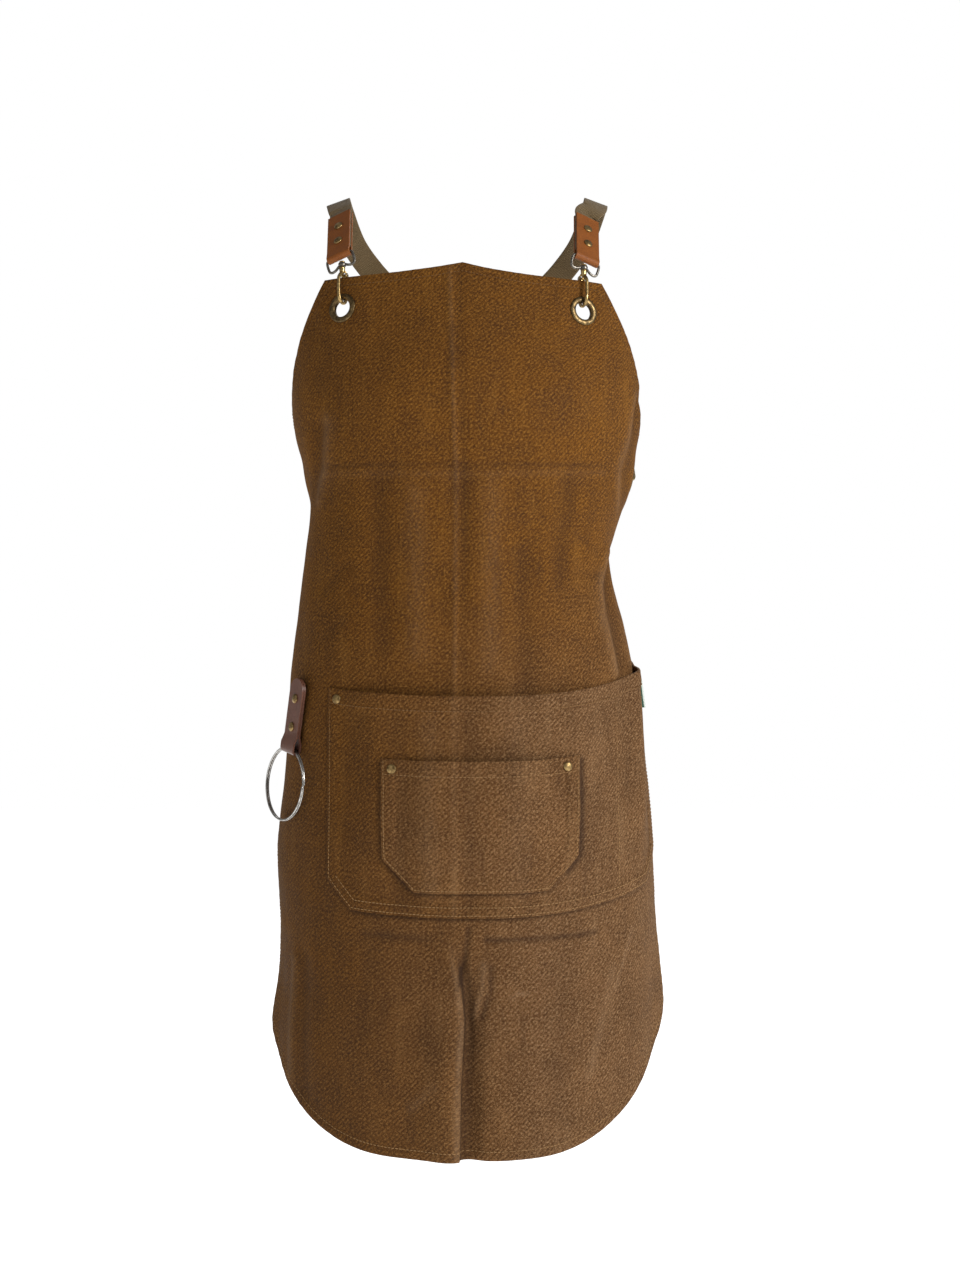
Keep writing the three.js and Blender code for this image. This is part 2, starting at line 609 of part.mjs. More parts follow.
// The leather patch that holds the straps where they cross.
function crossPatch() {
  const middle = vec(CROSSING[0], CROSSING[1] + STRAP_OVER + STRAP / 2 + GAP + 0.4, CROSSING[2]);
  const half = 24;
  const corner = 7;
  const outline = [[1, 1], [-1, 1], [-1, -1], [1, -1]].flatMap(([sx, sy], i) => (
    levelsBetween(0, Math.PI / 2, 3).map((turn) => {
      const angle = turn + i * Math.PI / 2;
      return [sx * (half - corner) + corner * Math.cos(angle), sy * (half - corner) + corner * Math.sin(angle)];
    })));
  const flat = extruded(outline, LEATHER).rotateZ(Math.PI / 4).translate(0, 0, LEATHER / 2);
  const patch = placed(flat, middle, vec(-1, 0, 0), vec(0, 0, 1), vec(0, 1, 0));
  const hole = drill(middle, vec(0, 1, 0), RIVET.hole, 30);
  add('cross_patch', cut(patch, [hole]), finish(LEATHER_TAN, 0.55, 0));
  const base = CROSSING[1] - STRAP / 2 - middle.y;
  add('cross_rivet', rivet(middle, vec(0, 1, 0), base, LEATHER), finish(BRASS, 0.4, 1));
}

// ---------------------------------------------------------------- strap sliders
// A bent slide: the webbing runs straight over its middle bar and under its two end bars.
function sliders() {
  const [inner, outer, bar] = [STRAP_WIDTH / 2 + 1, STRAP_WIDTH / 2 + 3.6, 1.1];
  const [lengthHalf, over] = [9.5, STRAP / 2 + GAP + bar];
  for (const [side, name] of [[-1, 'left'], [1, 'right']]) {
    const at = vec(-side * SLIDER_AT[0], SLIDER_AT[1], SLIDER_AT[2]);
    const from = SHOULDER_ROUTE[5];
    const to = SHOULDER_ROUTE[7];
    const along = vec(-side * (to[0] - from[0]), to[1] - from[1], to[2] - from[2]).normalize();
    const out = vec(side * 0.22, 0.9, 0.38);
    out.addScaledVector(along, -out.dot(along)).normalize();
    const across = along.clone().cross(out);
    const bars = [[-lengthHalf, over], [0, -over], [lengthHalf, over]].map(([place, height]) => (
      new THREE.BoxGeometry(2 * bar + 0.6, 2 * outer, 2 * bar).translate(place, 0, height)));
    const rails = [-1, 1].map((edge) => new THREE.BoxGeometry(2 * lengthHalf + 2 * bar + 0.6, outer - inner,
      2 * over + 2 * bar).translate(0, edge * (inner + outer) / 2, 0));
    const slide = placed(join([...bars, ...rails]), at, along, across, along.clone().cross(across));
    add(`slider_${name}`, slide, finish(GUNMETAL, 0.4, 1));
  }
}

// ---------------------------------------------------------------- towel ring
function ringTabPoint(along) {
  return ringTab.point.clone().addScaledVector(ringTab.down, along - RING_TAB.length / 2);
}

// The fold leaves room for the ring's curved wire to turn in it.
const RING_FOLD = {
  length: RING_TAB.length, width: RING_TAB.width, barSpace: 2.9, layerSpace: 0.2, hollow: 6,
};

function towelRing() {
  const up = ringTab.down.clone().negate();
  const seat = CANVAS / 2 + GAP + RING_FOLD.barSpace + LEATHER; // the middle of the fold stands off the cloth
  const foot = ringTabPoint(RING_TAB.length).addScaledVector(ringTab.out, seat);
  const tab = foldedTab(foot, up, ringTab.out, RING_FOLD);
  const [half, top] = [RING_TAB.width / 2, RING_TAB.length - RING_TAB.width / 2];
  const outline = [[-10, -half], ...levelsBetween(-Math.PI / 2, Math.PI / 2, 8).map((angle) => (
    [top + half * Math.cos(angle), half * Math.sin(angle)])), [-10, half]];
  const across = up.clone().cross(ringTab.out);
  const rounded = placed(extruded(outline, 30), foot, up, across, ringTab.out.clone().negate());
  const shaped = geometryOf(solidOf(tab).intersect(solidOf(rounded)));
  const points = RING_TAB.rivets.map((along) => ringTabPoint(along).addScaledVector(ringTab.out, seat));
  add('ring_tab', cut(shaped, points.map((point) => drill(point, ringTab.out, RIVET.hole, 30))),
    finish(LEATHER_BROWN, 0.5, 0));
  points.forEach((point, i) => {
    const cloth = clothPoint(RING_TAB.u, RING_TAB.top + RING_TAB.rivets[i]);
    const back = cloth.sub(point).dot(ringTab.out) - CANVAS / 2;
    const top = RING_FOLD.layerSpace + LEATHER;
    const held = rivet(point, ringTab.out, back - GAP, top, RIVET.play);
    add(`ring_tab_rivet_${i + 1}`, held, finish(BRASS, 0.4, 1));
  });
  // The ring lies close along the cloth below the tab.
  const radius = RING.outer - RING.wire;
  const below = clothPoint(RING_TAB.u, RING_TAB.top + RING_TAB.length + 2 * radius);
  const sideways = across.clone().normalize();
  const lean = clothPoint(RING_TAB.u, RING_TAB.top + RING_TAB.length).sub(below);
  lean.addScaledVector(sideways, -lean.dot(sideways)).normalize();
  const sag = radius - Math.sqrt(radius ** 2 - half ** 2);
  const centre = foot.clone().addScaledVector(lean, sag / 2 - radius);
  const ring = new THREE.TorusGeometry(radius, RING.wire, 6, 36).scale(1, 1, RING.halfHeight / RING.wire);
  add('towel_ring', placed(ring, centre, sideways, lean, sideways.clone().cross(lean)), finish(STEEL, 0.25, 1));
}

panel();
pockets();
labelTag();
eyelets();
straps();
crossPatch();
sliders();
towelRing();

export default apron;
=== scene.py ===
"""Looks for the butcher apron: waxed canvas panel and pockets, webbing straps, leather and hardware.

Lengths are millimetres in the frame of the CAD part until a mesh is made, which is in metres.
u runs across the cut cloth from its centre line and v down from the bib's top edge.
"""
import math

import bpy
import numpy as np
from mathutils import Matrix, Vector

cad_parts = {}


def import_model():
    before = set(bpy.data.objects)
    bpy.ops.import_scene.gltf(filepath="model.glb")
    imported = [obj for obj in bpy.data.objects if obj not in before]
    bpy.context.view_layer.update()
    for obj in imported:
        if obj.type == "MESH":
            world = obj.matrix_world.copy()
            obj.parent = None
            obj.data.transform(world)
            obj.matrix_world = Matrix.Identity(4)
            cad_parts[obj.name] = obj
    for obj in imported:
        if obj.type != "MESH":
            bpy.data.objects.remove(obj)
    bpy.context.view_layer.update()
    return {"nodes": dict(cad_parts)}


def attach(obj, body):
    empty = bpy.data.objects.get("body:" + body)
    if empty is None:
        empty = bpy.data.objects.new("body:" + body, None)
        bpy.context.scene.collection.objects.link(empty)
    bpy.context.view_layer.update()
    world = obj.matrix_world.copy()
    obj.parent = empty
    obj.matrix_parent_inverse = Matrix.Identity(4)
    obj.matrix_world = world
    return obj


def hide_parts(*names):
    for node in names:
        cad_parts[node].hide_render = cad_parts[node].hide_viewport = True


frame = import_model()

MM = 0.001

# ---------------------------------------------------------------- the part's driving dimensions
GAP = 0.3
CANVAS = 1.2
PANEL_LENGTH = 850
PANEL_HALF = 250
BIB_HALF = 147
BIB_CORNER = 8
ARMHOLE_END = 185
ARMHOLE_BOW = 22
HEM_START = 758
HEM_FLAT_HALF = 70
PANEL_SHIFT = -4
PANEL_TOP = -79

# The shape that the cloth hangs on: height, half width to the left and right, depth.
FORM = np.array([
    [-930, 186, 188, 125],
    [-830, 188, 189, 125],
    [-770, 183, 187, 124],
    [-650, 188, 184, 124],
    [-560, 180, 175, 118],
    [-480, 176, 166, 110],
    [-430, 170, 157, 104],
    [-360, 161, 142, 99],
    [-295, 156, 159, 105],
    [-235, 171, 171, 115],
    [-190, 174, 174, 118],
    [-120, 172, 170, 100],
    [-40, 170, 168, 78],
], float)

POCKET = {"left": -134, "right": 230, "top": 415, "bottom": 622, "chamfer": 26}
POCKET_DIVIDER = 161
SMALL_POCKET = {"left": -74, "right": 110, "top": 476, "bottom": 599, "chamfer": 29}
POCKET_SWELL = {"main": 8, "slot": 7, "small": 6.5}
SEAM = 12
FOLD = 1.4
POCKET_TOP = CANVAS + FOLD
POCKET_RIVETS = {"pocket_rivet_left": (-124, 425, 0), "pocket_rivet_right": (219, 425, 0.9)}
SMALL_POCKET_RIVETS = {"small_pocket_rivet_left": (-63.5, 485), "small_pocket_rivet_right": (97, 485)}

EYELET = {"hole": 8.7, "barrel": 9.6, "flange": 14.5, "front": (120, 32), "side": (226, 209)}
LABEL_TAPE = {"v": 447, "half_length": 15, "half_width": 5, "half_thickness": 0.35, "pale_from": 8.2}
STRAP_WIDTH = 25
STRAP = 1.6
LEATHER = 1.8
TAB_LENGTH = 66
TAB_RIVETS = [22, 46]
TAB_INNER = STRAP / 2 + 0.6
BOW = {"half_width": 14.2, "height": 12, "wire": 1.3, "drop": 1.5}
COLLAR = {"bottom": 0.3, "top": 3.9, "radius": 3.7, "hole": 2.2}
HOOK = {"wire": 1.7, "length": 37, "half_loop": 6.5, "mouth_top": 18, "reach": 42.6}
RING = {"outer": 37, "wire": 1.3}
RING_TAB = {"u": -179, "top": 413, "rivets": [20, 48], "length": 70, "width": 25}


# ---------------------------------------------------------------- small maths
def smooth(low, high, value):
    t = np.clip((value - low) / (high - low), 0, 1)
    return t * t * (3 - 2 * t)


def unit(vector):
    vector = np.asarray(vector, float)
    return vector / np.linalg.norm(vector, axis=-1, keepdims=True)


def bell(distance, width):
    return np.exp(-((distance / width) ** 2))


# ---------------------------------------------------------------- the hanging cloth
def form_at(column, z):
    rows = FORM[:, 0]
    values = FORM[:, column]
    low = np.maximum(np.arange(len(rows)) - 1, 0)
    high = np.minimum(np.arange(len(rows)) + 1, len(rows) - 1)
    slope = (values[high] - values[low]) / (rows[high] - rows[low])
    i = np.clip(np.searchsorted(rows, z, side="right") - 1, 0, len(rows) - 2)
    span = rows[i + 1] - rows[i]
    t = np.clip((z - rows[i]) / span, 0, 1)
    rise = (t**3 - 2 * t**2 + t) * slope[i] + (t**3 - t**2) * slope[i + 1]
    return (2 * t**3 - 3 * t**2 + 1) * values[i] + (3 * t**2 - 2 * t**3) * values[i + 1] + span * rise


GAUSS = [(-0.9061798, 0.2369269), (-0.5384693, 0.4786287), (0, 0.5688889),
         (0.5384693, 0.4786287), (0.9061798, 0.2369269)]


def angle_at_arc(a, b, arc):
    """The angle round an ellipse, from its front, at which the way round it is arc long."""
    def speed(t):
        return np.hypot(a * np.cos(t), b * np.sin(t))
    angle = arc / a
    for _ in range(6):
        length = sum(w * speed(angle * (x + 1) / 2) for x, w in GAUSS) * angle / 2
        angle = angle - (length - arc) / speed(angle)
    return angle


def lift(u, v):
    droop = np.where(u < 0, 12.5, 17) * (1 - np.exp(-np.abs(u) / 60)) * (1 - smooth(0, 140, v))
    rise = np.where(u < 0, 9 * (u / 140) ** 2, 33 * (np.maximum(u - 30, 0) / 200) ** 2)
    return rise * smooth(120, 420, v) - droop


def relief(u, v):
    below = smooth(640, 760, v)
    ridge = 7 * bell(u + 14, 20)
    valley = -9 * bell(u - 8, 11)
    flare = 7 * smooth(215, 250, np.abs(u)) * smooth(650, 750, v)
    return below * (ridge + valley) + flare


def body_point(u, v):
    z = PANEL_TOP - v + lift(u, v)
    across = u + PANEL_SHIFT
    a = np.where(across < 0, form_at(1, z), form_at(2, z))
    b = form_at(3, z)
    angle = angle_at_arc(a, b, np.abs(across)) * np.sign(across)
    out = unit(np.stack([np.sin(angle) / a, -np.cos(angle) / b, np.zeros_like(z)], -1))
    point = np.stack([a * np.sin(angle), -b * np.cos(angle), z], -1)
    return point + out * relief(u, v)[..., None]


def frame_of(surface, u, v):
    """The point and directions of a surface at (u, v): across, down and out."""
    u = np.asarray(u, float)
    v = np.asarray(v, float)
    across = unit(surface(u + 0.5, v) - surface(u - 0.5, v))
    down = surface(u, v + 0.5) - surface(u, v - 0.5)
    down = unit(down - across * (down * across).sum(-1, keepdims=True))
    return {"point": surface(u, v), "across": across, "down": down, "out": unit(np.cross(down, across))}


def eyelet_seats():
    seats = []
    for side in (-1, 1):
        for place in ("front", "side"):
            u, v = EYELET[place]
            seats.append({"u": side * u, "v": v, "side": side, "place": place,
                          **frame_of(body_point, side * u, v)})
    return seats


SEATS = eyelet_seats()


def side_name(side):
    return "left" if side < 0 else "right"


def cloth_point(u, v):
    u, v = np.broadcast_arrays(np.asarray(u, float), np.asarray(v, float))
    point = body_point(u, v)
    for seat in SEATS:
        du = u - seat["u"]
        dv = v - seat["v"]
        share = (1 - smooth(17, 38, np.hypot(du, dv)))[..., None]
        flat = seat["point"] + du[..., None] * seat["across"] + dv[..., None] * seat["down"]
        point = point * (1 - share) + flat * share
    return point


def cloth_frame(u, v):
    return frame_of(cloth_point, u, v)


# ---------------------------------------------------------------- creases and folds
# Each line: its points as (u, v), how far it stands out, its width, how dark it is painted with shade and
# some wax dirt, and how rubbed.
CREASES = [
    ([(-12, 4), (-6, 200), (-7, 420), (-7, 622)], 0.9, 3, 0.0, 0.07),
    ([(-3, 4), (2, 200), (1, 420)], -0.5, 5, 0.16, 0),
    ([(-9, 66), (-9, 100)], -0.3, 7, 0.3, 0),
    ([(-152, 193), (0, 196), (150, 193)], -0.6, 2.2, 0.34, 0),
    ([(-150, 201), (0, 204), (148, 201)], 0.3, 5, 0, 0.04),
    ([(-152, 158), (-160, 186), (-178, 216)], -5, 13, 0.24, 0),
    ([(-138, 150), (-143, 186), (-158, 226)], 2.2, 9, 0, 0.1),
    ([(196, 122), (184, 165), (169, 196), (174, 232)], 2, 8, 0, 0.12),
    ([(210, 128), (200, 168), (186, 200), (193, 236)], -5, 11, 0.3, 0),
    ([(168, 284), (147, 314), (146, 345), (155, 375), (163, 405)], 3.2, 8, 0, 0.14),
    ([(186, 288), (167, 318), (165, 346), (172, 376), (178, 402)], -4.5, 10, 0.4, 0),
    ([(152, 284), (118, 262)], -1.4, 5, 0.2, 0),
    ([(148, 306), (116, 300)], -1.2, 5, 0.16, 0),
    ([(-84, 212), (-80, 365)], -2.3, 14, 0.26, 0),
    ([(-2, 206), (-2, 296)], -1.9, 12, 0.16, 0),
    ([(57, 278), (60, 404)], -2.3, 13, 0.22, 0),
    ([(104, 212), (98, 300)], -1.9, 13, 0.28, 0),
    ([(-45, 222), (-42, 372)], 1.6, 14, 0, 0.06),
    ([(28, 218), (26, 384)], 1.6, 13, 0, 0.06),
    ([(-146, 320), (-118, 292)], -1.5, 6, 0.18, 0),
    ([(-150, 372), (-124, 350)], -1.1, 6, 0.12, 0),
    ([(-62, 440), (-56, 610)], -1.5, 13, 0.22, 0),
    ([(4, 430), (8, 610)], -1.4, 10, 0.18, 0),
    ([(-30, 440), (-28, 600)], 1.2, 12, 0, 0.06),
    ([(50, 440), (52, 600)], 1.0, 14, 0, 0.05),
    ([(22, 642), (75, 644), (134, 648)], -1.7, 3.2, 0.62, 0),
    ([(-94, 643), (-32, 642)], -1.0, 5, 0.34, 0),
    ([(6, 633), (3, 660), (-3, 684)], -1.6, 3.4, 0.45, 0),
    ([(28, 668), (27, 690), (18, 716)], -1.7, 3, 0.5, 0),
    ([(20, 666), (19, 690), (11, 714)], 1.0, 4, 0, 0.14),
    ([(179, 658), (155, 708)], 0.4, 2.2, 0, 0.22),
    ([(152, 690), (124, 782)], 0.6, 6, 0, 0.12),
    ([(45, 700), (52, 694), (64, 693)], 0.2, 1.2, 0, 0.4),
    ([(-48, 802), (-26, 780)], 0.3, 5, 0, 0.09),
    ([(-184, 688), (-188, 800)], 2.0, 7, 0, 0.14),
    ([(-168, 680), (-166, 810)], -1.8, 9, 0.2, 0),
    ([(-92, 660), (-96, 740)], -1.0, 10, 0.14, 0),
    ([(92, 664), (90, 800)], -1.3, 14, 0.14, 0),
]

# The skirt's deep fold: where its sharp edge runs.
FOLD_V = [630, 682, 717, 782, 850]
FOLD_U = [-12, -3, 0, -3, -4]

# The cloth lies still round what is fixed to it.
CALM = [((seat["u"], seat["v"]), 50) for seat in SEATS]
CALM += [((u, v), 12) for u, v, _ in POCKET_RIVETS.values()]
CALM += [((u, v), 12) for u, v in SMALL_POCKET_RIVETS.values()]
CALM += [((RING_TAB["u"], RING_TAB["top"] + along), 24) for along in (5, 30, 55, 80)]


def distance_to_line(u, v, points):
    nearest = np.full(np.shape(u), 1e9)
    for (u0, v0), (u1, v1) in zip(points[:-1], points[1:]):
        du = u1 - u0
        dv = v1 - v0
        t = np.clip(((u - u0) * du + (v - v0) * dv) / (du * du + dv * dv), 0, 1)
        nearest = np.minimum(nearest, np.hypot(u - u0 - t * du, v - v0 - t * dv))
    return nearest


def freedom(u, v):
    """How free the cloth is to crease: 0 where something is fixed to it, and 1 away from it."""
    free = np.ones(np.shape(u))
    for (cu, cv), radius in CALM:
        free = free * smooth(0.6 * radius, 1.5 * radius, np.hypot(u - cu, v - cv))
    return free


# Beside the waist hooks the cloth stands a little further out, clear of their gates.
EASE = {"out": 0.9, "u": 251, "v": 195, "width": 14}


def creases(u, v):
    """How far the cloth stands out at (u, v), how dark its creases are painted there with shade and some
    wax dirt, and how rubbed.
    """
    stand = np.zeros(np.shape(u))
    dark = np.zeros(np.shape(u))
    rub = np.zeros(np.shape(u))
    for points, height, width, crease_shade_and_dirt, rubbed in CREASES:
        distance = distance_to_line(u, v, points)
        stand = stand + height * bell(distance, width)
        # Painted shade, with some wax dirt, along each crease line.
        dark = dark + crease_shade_and_dirt * bell(distance, width * 0.8)
        rub = rub + rubbed * bell(distance, width * 0.8)
    side = u - np.interp(v, FOLD_V, FOLD_U)
    deep = smooth(632, 690, v)
    edge = np.where(side < 0, np.exp(side / 15), bell(side, 1.9))
    stand = stand + deep * (3.6 * edge - 3.4 * bell(side - 6.5, 4.5))
    # Painted shadow, with some wax dirt, in the valley beside the deep fold's sharp edge.
    dark = dark + deep * (0.6 * bell(side - 3, 2.2) + 0.42 * bell(side - 8, 6))
    rub = rub + deep * 0.2 * bell(side + 2, 3)
    waves = 0.55 * np.sin(u / 27 + v / 83 + 1.3) * np.sin(v / 61 + 0.4)
    waves = waves + 0.3 * np.sin(u / 13 - v / 37 + 0.4) * np.sin(v / 29 + u / 71)
    waves = waves + 0.12 * np.sin(u / 5.3 + v / 17) * np.sin(v / 7.1 - u / 23 + 2)
    eased = EASE["out"] * bell(np.hypot(np.abs(u) - EASE["u"], v - EASE["v"]), EASE["width"])
    return (stand + waves) * freedom(u, v) + eased, dark, rub


def cloth_at(u, v, offset):
    """The point of the creased cloth at (u, v), standing off its middle by offset."""
    u, v = np.broadcast_arrays(np.asarray(u, float), np.asarray(v, float))
    there = cloth_frame(u, v)
    stand = creases(u, v)[0] + offset
    return there["point"] + there["out"] * stand[..., None]


# ---------------------------------------------------------------- meshes
def new_object(name, vertices, faces, uv=None):
    """A mesh object from points in millimetres, with optional texture places in metres."""
    mesh = bpy.data.meshes.new(name)
    mesh.from_pydata((np.asarray(vertices) * MM).tolist(), [], [tuple(map(int, face)) for face in faces])
    mesh.validate()
    if uv is not None:
        layer = mesh.uv_layers.new(name="cloth")
        corners = np.zeros(len(mesh.loops), int)
        mesh.loops.foreach_get("vertex_index", corners)
        layer.data.foreach_set("uv", (np.asarray(uv)[corners] * MM).ravel())
    mesh.polygons.foreach_set("use_smooth", [True] * len(mesh.polygons))
    mesh.update()
    piece = bpy.data.objects.new(name, mesh)
    bpy.context.scene.collection.objects.link(piece)
    return piece


def add_values(piece, **values):
    """Named numbers on the vertices, for the material to read."""
    for name, numbers in values.items():
        attribute = piece.data.attributes.new(name, "FLOAT", "POINT")
        attribute.data.foreach_set("value", np.asarray(numbers, np.float32).ravel())


def grid_faces(rows, columns, start, flip=False):
    i, j = np.meshgrid(np.arange(rows - 1), np.arange(columns - 1), indexing="ij")
    a = start + i * columns + j
    quad = [a, a + columns, a + columns + 1, a + 1]
    if flip:
        quad = quad[::-1]
    return np.stack([q.ravel() for q in quad], -1)


def rim_faces(rows, columns):
    """The faces that join the outer grid of a sheet to the inner one, round its edge."""
    i = np.arange(rows)
    j = np.arange(columns)
    loop = np.concatenate([i * columns, (rows - 1) * columns + j[1:],
                           i[::-1][1:] * columns + columns - 1, j[::-1][1:]])
    here = loop[:-1]
    after = loop[1:]
    shift = rows * columns
    return np.stack([here, here + shift, after + shift, after], -1)


def closed_sheet_faces(rows, columns):
    """The faces of a sheet made of an outer grid, an inner grid and the rim between them."""
    return np.concatenate([grid_faces(rows, columns, 0), grid_faces(rows, columns, rows * columns, True),
                           rim_faces(rows, columns)])


def cloth_sheet(name, u, v, outer, inner, grey, shade=0):
    """A closed sheet over the grid (u, v) whose faces stand off the panel's middle by outer and inner."""
    rows, columns = u.shape
    points = np.concatenate([cloth_at(u, v, outer).reshape(-1, 3), cloth_at(u, v, inner).reshape(-1, 3)])
    uv = np.tile(np.stack([u.ravel(), v.ravel()], -1), (2, 1))
    piece = new_object(name, points, closed_sheet_faces(rows, columns), uv)
    _, dark, rub = creases(u, v)
    # dark holds painted shade with some dirt: along the creases, beside the pockets' edges and low on the
    # left side.
    dark = dark + shade
    add_values(piece, crease=np.tile(dark.ravel(), 2), rub=np.tile(rub.ravel(), 2),
               grey=np.tile(grey.ravel(), 2))
    return piece


def spread(low, high, fine, step):
    """Numbers from low to high: at the distances in fine from both ends, and a step apart between."""
    count = max(int((high - low - 2 * fine[-1]) / step), 2) + 1
    inside = np.linspace(low + fine[-1], high - fine[-1], count)
    return np.concatenate([[low + f for f in fine[:-1]], inside, [high - f for f in fine[:-1]][::-1]])


def spline(points, count):
    """A centripetal Catmull-Rom curve through points, sampled evenly by its stops, with tangents."""
    points = np.asarray(points, float)
    stops = np.concatenate([[2 * points[0] - points[1]], points, [2 * points[-1] - points[-2]]])
    t = np.linspace(0, len(points) - 1, count)
    i = np.minimum(t.astype(int), len(points) - 2)
    w = (t - i)[:, None]
    p0, p1, p2, p3 = (stops[i + k] for k in range(4))
    d0, d1, d2 = (np.maximum(np.linalg.norm(b - a, axis=1, keepdims=True), 1e-9) ** 0.5
                  for a, b in ((p0, p1), (p1, p2), (p2, p3)))
    m1 = ((p1 - p0) / d0 - (p2 - p0) / (d0 + d1) + (p2 - p1) / d1) * d1
    m2 = ((p2 - p1) / d1 - (p3 - p1) / (d1 + d2) + (p3 - p2) / d2) * d1
    place = (2 * w**3 - 3 * w**2 + 1) * p1 + (w**3 - 2 * w**2 + w) * m1
    place = place + (3 * w**2 - 2 * w**3) * p2 + (w**3 - w**2) * m2
    return place, unit(np.gradient(place, axis=0))


def tube_faces(rings, sides):
    """The faces between rings of points that follow each other."""
    faces = []
    for i in range(rings - 1):
        for j in range(sides):
            k = (j + 1) % sides
            faces.append((i * sides + j, i * sides + k, (i + 1) * sides + k, (i + 1) * sides + j))
    return faces


def sweep(path, radius, sides=16):
    """A round wire along a path of points, with rounded ends: its vertices and faces."""
    path = np.asarray(path, float)
    tangents = unit(np.gradient(path, axis=0))
    normal = np.cross(tangents[0], [0.31, 0.52, 0.8])
    rings = []
    radii = np.full(len(path), float(radius))
    radii[0] *= 0.55
    radii[-1] *= 0.55
    for place, tangent, size in zip(path, tangents, radii):
        normal = unit(normal - tangent * normal.dot(tangent))
        side = np.cross(tangent, normal)
        angles = np.linspace(0, 2 * np.pi, sides, endpoint=False)[:, None]
        rings.append(place + size * (np.cos(angles) * normal + np.sin(angles) * side))
    vertices = np.concatenate(rings + [path[:1] - tangents[:1] * radius * 0.3,
                                       path[-1:] + tangents[-1:] * radius * 0.3])
    faces = tube_faces(len(path), sides)
    first = len(path) * sides
    last = (len(path) - 1) * sides
    for j in range(sides):
        k = (j + 1) % sides
        faces.append((first, k, j))
        faces.append((first + 1, last + j, last + k))
    return vertices, faces


def lathe(profile, point, direction, segments=40):
    """A closed or axis-to-axis profile of (radius, height) turned round a direction at a point."""
    direction = unit(direction)
    x = unit(np.cross(direction, [0.3, 0.2, 0.9]))
    y = np.cross(direction, x)
    angles = np.linspace(0, 2 * np.pi, segments, endpoint=False)
    vertices = []
    for radius, height in profile:
        for angle in angles:
            around = math.cos(angle) * x + math.sin(angle) * y
            vertices.append(point + direction * height + radius * around)
    return np.array(vertices), tube_faces(len(profile), segments)


def merged(name, parts):
    """One object from several lists of vertices and faces."""
    vertices = []
    faces = []
    start = 0
    for points, part_faces in parts:
        vertices.append(points)
        faces += [tuple(index + start for index in face) for face in part_faces]
        start += len(points)
    return new_object(name, np.concatenate(vertices), faces)


def soften(piece, width):
    """Rounds the sharp edges of a piece made of flat faces."""
    weld = piece.modifiers.new("weld", "WELD")
    weld.merge_threshold = 2e-5
    bevel = piece.modifiers.new("bevel", "BEVEL")
    bevel.width = width * MM
    bevel.segments = 2
    bevel.limit_method = "ANGLE"
    bevel.angle_limit = math.radians(35)
    bevel.harden_normals = True
    normals = piece.modifiers.new("normals", "WEIGHTED_NORMAL")
    normals.weight = 100
    piece.data.polygons.foreach_set("use_smooth", [True] * len(piece.data.polygons))


# ---------------------------------------------------------------- material nodes
class Recipe:
    """A short way to write a procedural material."""

    def __init__(self, name):
        self.material = bpy.data.materials.new(name)
        self.material.use_nodes = True
        self.tree = self.material.node_tree
        self.shader = self.tree.nodes["Principled BSDF"]

    def node(self, kind, sockets=None, **settings):
        made = self.tree.nodes.new(kind)
        for key, value in settings.items():
            setattr(made, key, value)
        for key, value in (sockets or {}).items():
            self.feed(made.inputs[key], value)
        return made

    def feed(self, socket, value):
        if isinstance(value, bpy.types.NodeSocket):
            self.tree.links.new(value, socket)
        elif isinstance(value, tuple) and len(value) == 3 and socket.type == "RGBA":
            socket.default_value = (*value, 1)
        else:
            socket.default_value = value

    def places(self, kind, scale=(1, 1, 1), turn=0):
        source = self.node("ShaderNodeTexCoord").outputs[kind]
        sockets = {"Vector": source, "Scale": scale, "Rotation": (0, 0, turn)}
        return self.node("ShaderNodeMapping", sockets).outputs[0]

    def noise(self, vector, size, detail=3, roughness=0.55, distortion=0):
        sockets = {"Vector": vector, "Scale": 1 / (size * MM), "Detail": detail, "Roughness": roughness,
                   "Distortion": distortion}
        return self.node("ShaderNodeTexNoise", sockets).outputs["Fac"]

    def cells(self, vector, size):
        sockets = {"Vector": vector, "Scale": 1 / (size * MM)}
        return self.node("ShaderNodeTexVoronoi", sockets).outputs["Distance"]

    def bands(self, vector, pitch, direction, distortion):
        sockets = {"Vector": vector, "Scale": 2 * math.pi / (20 * pitch * MM), "Distortion": distortion}
        return self.node("ShaderNodeTexWave", sockets, bands_direction=direction).outputs["Fac"]

    def maths(self, operation, a, b):
        return self.node("ShaderNodeMath", {0: a, 1: b}, operation=operation).outputs[0]

    def plus(self, a, b):
        return self.maths("ADD", a, b)

    def times(self, a, b):
        return self.maths("MULTIPLY", a, b)

    def span(self, value, low, high, out_low=0.0, out_high=1.0):
        sockets = {"Value": value, "From Min": low, "From Max": high, "To Min": out_low, "To Max": out_high}
        return self.node("ShaderNodeMapRange", sockets).outputs["Result"]

    def mix(self, share, a, b):
        return self.node("ShaderNodeMix", {0: share, 6: a, 7: b}, data_type="RGBA").outputs[2]

    def tint(self, colour, other, value, low, high, most):
        """The colour turned towards another by up to most, as a value goes from low to high."""
        return self.mix(self.times(self.span(value, low, high), most), colour, other)

    def value(self, name):
        return self.node("ShaderNodeAttribute", attribute_name=name).outputs["Fac"]

    def bump(self, height, depth, strength, below=None):
        sockets = {"Height": height, "Distance": depth * MM, "Strength": strength}
        if below is not None:
            sockets["Normal"] = below
        return self.node("ShaderNodeBump", sockets).outputs["Normal"]

    def finish(self, colour, roughness, normal, **constants):
        self.feed(self.shader.inputs["Base Color"], colour)
        self.feed(self.shader.inputs["Roughness"], roughness)
        self.feed(self.shader.inputs["Normal"], normal)
        for key, value in constants.items():
            self.shader.inputs[key.replace("_", " ")].default_value = value
        return self.material


